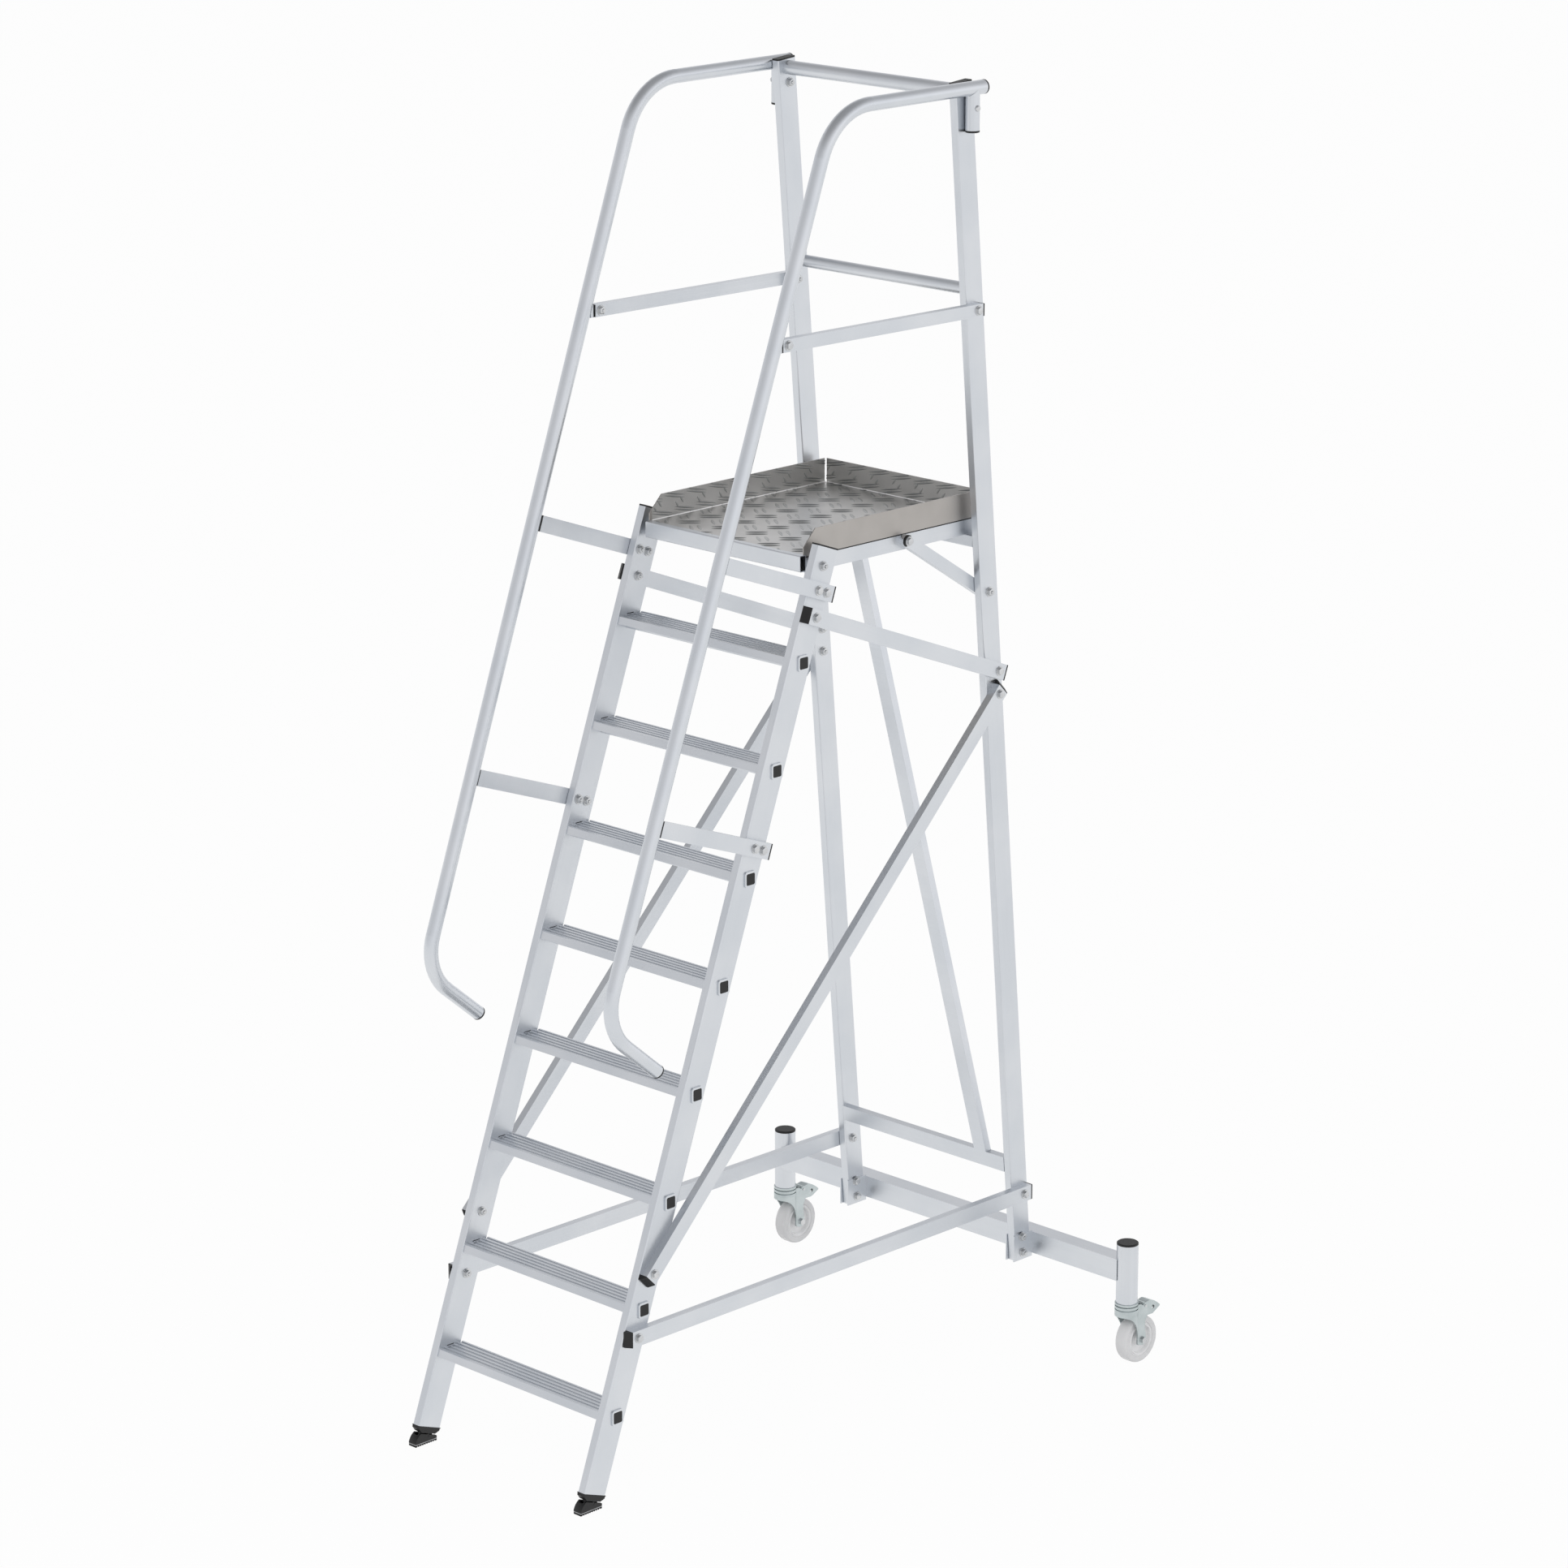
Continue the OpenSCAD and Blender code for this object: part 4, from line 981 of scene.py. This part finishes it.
@dataclass
class Fasteners:
    """The frame's bolts: chamfered hexagon heads and nuts, washers and threaded ends."""

    frame: Frame
    node: str = "frame_bolts"
    flats: float = 16.4 * MM
    head_height: float = 7.5 * MM
    nut_height: float = 9 * MM
    chamfer_slope: float = math.tan(math.radians(30))
    # The chamfered face's width as a share of the flats
    chamfer_face: float = 0.95
    washer: float = 12.5 * MM
    washer_thick: float = 1.6 * MM
    soft_edge: float = 0.3 * MM
    shank: float = 5 * MM
    stud: float = 4.4 * MM
    stud_end: float = 12 * MM
    thread_pitch: float = 1.5 * MM
    thread_depth: float = 0.7 * MM
    button: float = 7.5 * MM
    button_height: float = 4.9 * MM
    corners: int = 24
    # How far from a bolt's tip a corner still belongs to its end face
    end_face: float = 0.01 * MM

    def build(self) -> None:
        """Find every bolt of the frame and set detailed ends on it."""
        finish = self.frame.materials[Slot.BOLT]
        seats, whole = self.find()
        makers = {BoltEnd.HEAD: self.head, BoltEnd.NUT: self.nut, BoltEnd.BUTTON: self.button_head}
        for kind, maker in makers.items():
            whole.from_mesh(set_down(maker(), seats[kind], finish))
        mesh = to_mesh("hexagon_bolts", whole)
        mesh.materials.append(finish)
        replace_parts(add_piece("hexagon_bolts", mesh, "frame"), self.node)

    def kind(self, radius: float) -> BoltEnd:
        """Tell what an end is by the radius of its outer face.

        Args:
            radius: the radius.

        Returns:
            The kind of end.
        """
        if radius < self.shank:
            return BoltEnd.NUT
        if radius < self.flats / 2:
            return BoltEnd.BUTTON
        return BoltEnd.HEAD

    def find(self) -> tuple[dict[BoltEnd, list[Facing]], Shape]:
        """Find both ends of every bolt, all of which lie across the ladder.

        Returns:
            The seats of each kind of end, each with its outward direction, and the bare shanks.
        """
        heights = {
            BoltEnd.HEAD: self.head_height,
            BoltEnd.NUT: self.stud_end,
            BoltEnd.BUTTON: self.button_height,
        }
        seats = {kind: [] for kind in heights}
        solid = merged_copy(self.frame.nodes[self.node])
        shanks = bmesh.new()
        turn = Matrix.Rotation(math.pi / 2, 4, "Y")
        for bolt in islands(solid):
            points = np.array([vert.co for vert in bolt])
            low, high = points.min(0), points.max(0)
            centre = (low + high) / 2
            ends = []
            for way, reach in ((-1, low[0]), (1, high[0])):
                last = points[np.abs(points[:, 0] - reach) < self.end_face]
                kind = self.kind(np.hypot(last[:, 1] - centre[1], last[:, 2] - centre[2]).max())
                seat = Vector((reach - way * heights[kind], *centre[1:]))
                seats[kind].append((seat, X_AXIS * way))
                ends.append(seat)
            length = ends[1].x - ends[0].x
            rod = [[turn @ p for p in ring(self.shank, z, self.corners // 2)] for z in (0.0, length)]
            loft(shanks, [[p + ends[0] for p in row] for row in rod])
        solid.free()
        return seats, shanks

    def hexagon(self, base: float, top: float) -> list[list[Vector]]:
        """Give the rings of a hexagon whose upper corners are turned off.

        Args:
            base: its lower face.
            top: its upper face.

        Returns:
            The rings, from the lowest up.
        """
        face = self.flats / 2
        low, edge = [], []
        for point in ring(1.0, 0.0, self.corners):
            turn = math.atan2(point.y, point.x) % (math.pi / 3) - math.pi / 6
            radius = face / math.cos(turn)
            shoulder = top - (radius - face) * self.chamfer_slope - self.soft_edge
            low.append(point * radius + Z_AXIS * base)
            edge.append(point * radius + Z_AXIS * shoulder)
        return [low, edge, ring(face * self.chamfer_face, top, self.corners)]

    def washer_rings(self) -> list[list[Vector]]:
        """Give the rings of a washer with slightly rounded edges.

        Returns:
            The rings, from the lowest up.
        """
        inner = self.washer - self.soft_edge
        rim = [
            (inner, 0.0),
            (self.washer, self.soft_edge),
            (self.washer, self.washer_thick - self.soft_edge),
            (inner, self.washer_thick),
        ]
        return [ring(radius, z, self.corners) for radius, z in rim]

    def head(self) -> Mesh:
        """Make a hexagon head on its washer."""
        return lofted("head", self.washer_rings(), self.hexagon(self.washer_thick, self.head_height))

    def nut(self) -> Mesh:
        """Make a nut on its washer, with the bolt's threaded end.

        Returns:
            The mesh.
        """
        root = self.stud - self.thread_depth
        turns = int((self.stud_end - self.nut_height) / self.thread_pitch)
        thread = [ring(self.stud, self.nut_height - self.thread_pitch, self.corners)]
        for k in range(turns):
            z = self.nut_height + k * self.thread_pitch
            thread.append(ring(root, z, self.corners))
            thread.append(ring(self.stud, z + self.thread_pitch / 2, self.corners))
        thread.append(ring(root, self.stud_end, self.corners))
        hexagon = self.hexagon(self.washer_thick, self.nut_height)
        return lofted("nut", self.washer_rings(), hexagon, thread)

    def button_head(self) -> Mesh:
        """Make a low domed head."""
        # Shares of the radius and of the height
        rim = [(1.0, 0.0), (1.0, 0.35), (0.92, 0.62), (0.72, 0.86), (0.4, 1.0)]
        return lofted("button", [ring(self.button * r, self.button_height * z, self.corners) for r, z in rim])


@dataclass
class RailCaps:
    """The moulded caps in the ends of the bent rails: a flange and a low dome over each."""

    frame: Frame
    radius: float = 17.7 * MM
    flange: float = 3 * MM
    rise: float = 2.2 * MM
    corners: int = 48
    # The middle of each cap's outer face on the right, in millimetres, and the way it faces
    ends: tuple[tuple[Point, Point], ...] = (
        ((326.0, 484.4, 3289.0), (0.0, 1.0, 0.0)),
        ((326.0, 445.3, 3185.0), (0.0, 0.0, -1.0)),
        ((314.0, -616.35, 1061.64), (-0.003, 0.766, -0.643)),
    )

    def build(self) -> None:
        """Set a dome on every cap of the rails and their stubs, on both sides."""
        seats = []
        for side in (-1, 1):
            mirror = Matrix.Diagonal((side, 1.0, 1.0))
            for place, outward in self.ends:
                seats.append((mirror @ Vector(place) * MM, mirror @ Vector(outward)))
        mesh = set_down(self.dome(), seats, self.frame.materials[Slot.BLACK])
        add_piece("rail_cap_domes", mesh, "frame")

    def dome(self) -> Mesh:
        """Make the flange and its low dome."""
        # Share of the radius, and height over the cap's outer face
        rim = [(1.0, -self.flange), (1.0, 0.4 * self.rise), (0.97, 0.8 * self.rise), (0.9, self.rise)]
        return lofted("rail_cap", [ring(self.radius * share, z, self.corners) for share, z in rim])


@dataclass
class KneeSaddles:
    """The aluminium saddles between the front ends of the knee rails and the handrails."""

    frame: Frame
    caps: str = "bar_end_caps"
    rails: str = "side_knee_rails"
    near: float = 30 * MM
    cap: float = 4.5 * MM
    cover: float = 0.25 * MM

    def build(self) -> None:
        """Clad the solid's own blocks up to the black cap that stays in sight beside the rail."""
        low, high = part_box(self.rails)
        level = (low[2] + high[2]) / 2
        shape = merged_copy(self.frame.nodes[self.caps])
        far = [v for v in shape.verts if abs(v.co.y - low[1]) > self.near or abs(v.co.z - level) > self.near]
        bmesh.ops.delete(shape, geom=far, context="VERTS")
        shape.normal_update()
        for vert in shape.verts:
            vert.co += vert.normal * self.cover
        cut_off(shape, Y_AXIS * (low[1] - self.cap), Y_AXIS)
        mesh = to_mesh("knee_rail_saddles", shape)
        mesh.materials.append(self.frame.extrusion(self.rails))
        add_piece("knee_rail_saddles", mesh, "frame")


@dataclass
class SlotShadePlates:
    """Painted shade: a thin dark plate on each stile where its slot leaves a narrow shaded gap over each end
    of a tread.
    """

    treads: int = 8
    behind_nose: float = 44 * MM
    length: float = 23 * MM
    height: float = 2.2 * MM
    above: float = 0.5 * MM
    thick: float = 0.2 * MM
    # Painted shade: soft dark grey, as a deep gap looks
    dark: Finish = Finish("open_slot", "#26272b", 0.9)

    def build(self) -> None:
        """Set a plate of painted shade on the inner face of both stiles over every tread."""
        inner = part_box("stile_right")[0][0]
        seats = []
        for k in range(1, self.treads + 1):
            low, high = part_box(f"tread_{k}")
            for side in (-1, 1):
                seat = Vector((side * inner, low[1] + self.behind_nose, high[2] + self.above))
                seats.append((seat, X_AXIS * -side))
        shape = bmesh.new()
        size = Matrix.Diagonal((self.height, self.length, self.thick, 1.0))
        bmesh.ops.create_cube(shape, size=1.0, matrix=size)
        mesh = set_down(to_mesh("slot_gap", shape), seats, self.dark.build())
        add_piece("tread_slot_gaps", mesh, "frame")


@dataclass
class Studio:
    """A pale floor, soft light and the photograph's camera."""

    camera_place: Point = (8.7104, -8.7548, 5.1003)
    camera_pitch: float = 15.896
    camera_azimuth: float = 44.424
    camera_reach: float = 200.0
    lens: float = 119.56
    sensor: float = 36.0
    floor_half: float = 60.0
    floor_colour: str = "#f4f4f4"
    # How much of the floor's white shows in place of its shade
    floor_white: float = 0.96
    lamp_place: Point = (3.0, -6.0, 7.0)
    lamp_aim: Point = (0.0, 0.0, 1.4)
    lamp_size: float = 6.0
    lamp_power: float = 140.0
    room_colour: str = "#fdfdff"
    # The room's light overhead, against one at the sides
    room_above: float = 0.4
    # The way to the room's bright side, and its light at the dark and bright sides
    room_way: Point = (0.6, 0.5, 0.0)
    room_sides: Pair = (0.82, 1.12)

    def build(self) -> None:
        """Set up the floor, the lights, the world and the camera."""
        scene = bpy.context.scene
        scene.view_settings.view_transform = "Standard"
        self.floor()
        self.world(scene)
        self.softbox()
        self.camera(scene)

    def floor(self) -> None:
        """Lay the pale floor, which looks white and still takes a shadow."""
        mesh = bpy.data.meshes.new("studio_floor")
        r = self.floor_half
        mesh.from_pydata([(-r, -r, 0), (r, -r, 0), (r, r, 0), (-r, r, 0)], [], [(0, 1, 2, 3)])
        floor = bpy.data.objects.new("studio_floor", mesh)
        bpy.context.scene.collection.objects.link(floor)
        material = bpy.data.materials.new("pale_floor")
        material.use_nodes = True
        tree = material.node_tree
        tree.nodes.clear()
        rays = add_node(tree, "ShaderNodeLightPath").outputs
        seen = rays["Is Camera Ray"]
        for kind in ("Is Glossy Ray", "Is Transmission Ray"):
            seen = add_node(tree, "ShaderNodeMath", {0: seen, 1: rays[kind]}, operation="ADD")
        share = add_node(tree, "ShaderNodeMath", {0: seen, 1: self.floor_white}, operation="MULTIPLY")
        matt = add_node(tree, "ShaderNodeBsdfDiffuse", {"Color": linear(self.floor_colour)})
        white = add_node(tree, "ShaderNodeEmission", {"Color": linear("#ffffff"), "Strength": 1.0})
        mix = add_node(tree, "ShaderNodeMixShader", {0: share, 1: matt, 2: white})
        add_node(tree, "ShaderNodeOutputMaterial", {0: mix})
        mesh.materials.append(material)
        floor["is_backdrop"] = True

    def world(self, scene: bpy.types.Scene) -> None:
        """Light the room softly from all round, less from above and from the far left.

        Args:
            scene: the scene that takes the world.
        """
        world = bpy.data.worlds.new("studio_room")
        scene.world = world
        world.use_nodes = True
        tree = world.node_tree
        tree.nodes.clear()
        way = add_node(tree, "ShaderNodeTexCoord").outputs["Generated"]
        up = add_node(tree, "ShaderNodeSeparateXYZ", {0: way}).outputs[2]
        fall = {"From Min": 0.2, "From Max": 0.85, "To Min": 1.0, "To Max": self.room_above}
        height = add_node(tree, "ShaderNodeMapRange", {"Value": up} | fall)
        side = add_node(tree, "ShaderNodeVectorMath", {0: way, 1: self.room_way}, operation="DOT_PRODUCT")
        dark, bright = self.room_sides
        drift = {"From Min": -0.8, "From Max": 0.8, "To Min": dark, "To Max": bright}
        level = add_node(tree, "ShaderNodeMapRange", {"Value": side.outputs["Value"]} | drift)
        both = add_node(tree, "ShaderNodeMath", {0: height, 1: level}, operation="MULTIPLY")
        back = add_node(tree, "ShaderNodeBackground", {"Color": linear(self.room_colour), "Strength": both})
        add_node(tree, "ShaderNodeOutputWorld", {0: back})

    def softbox(self) -> None:
        """Hang one square soft light that faces the middle of the ladder."""
        lamp = bpy.data.lights.new("key_light", "AREA")
        lamp.size = self.lamp_size
        lamp.energy = self.lamp_power
        light = bpy.data.objects.new("key_light", lamp)
        bpy.context.scene.collection.objects.link(light)
        # The lamp lights the matt pieces, and round tubes show no streak of it
        light.visible_glossy = False
        aim = Vector(self.lamp_aim) - Vector(self.lamp_place)
        turn = aim.to_track_quat("-Z", "Y").to_matrix().to_4x4()
        light.matrix_world = Matrix.Translation(self.lamp_place) @ turn

    def camera(self, scene: bpy.types.Scene) -> None:
        """Stand the camera where the photograph was taken from.

        Args:
            scene: the scene that takes the camera.
        """
        data = bpy.data.cameras.new("photo_camera")
        data.sensor_width = self.sensor
        data.lens = self.lens
        data.clip_end = self.camera_reach
        camera = bpy.data.objects.new("photo_camera", data)
        camera.location = self.camera_place
        camera.rotation_euler = (math.radians(90 - self.camera_pitch), 0.0, math.radians(self.camera_azimuth))
        scene.collection.objects.link(camera)
        scene.camera = camera


def main() -> None:
    """Dress the ladder and set up its studio."""
    logging.basicConfig(level=logging.INFO)
    frame = Frame()
    frame.dress()
    Platform().build()
    Fasteners(frame).build()
    RailCaps(frame).build()
    KneeSaddles(frame).build()
    SlotShadePlates().build()
    Studio().build()


if __name__ == "__main__":
    main()
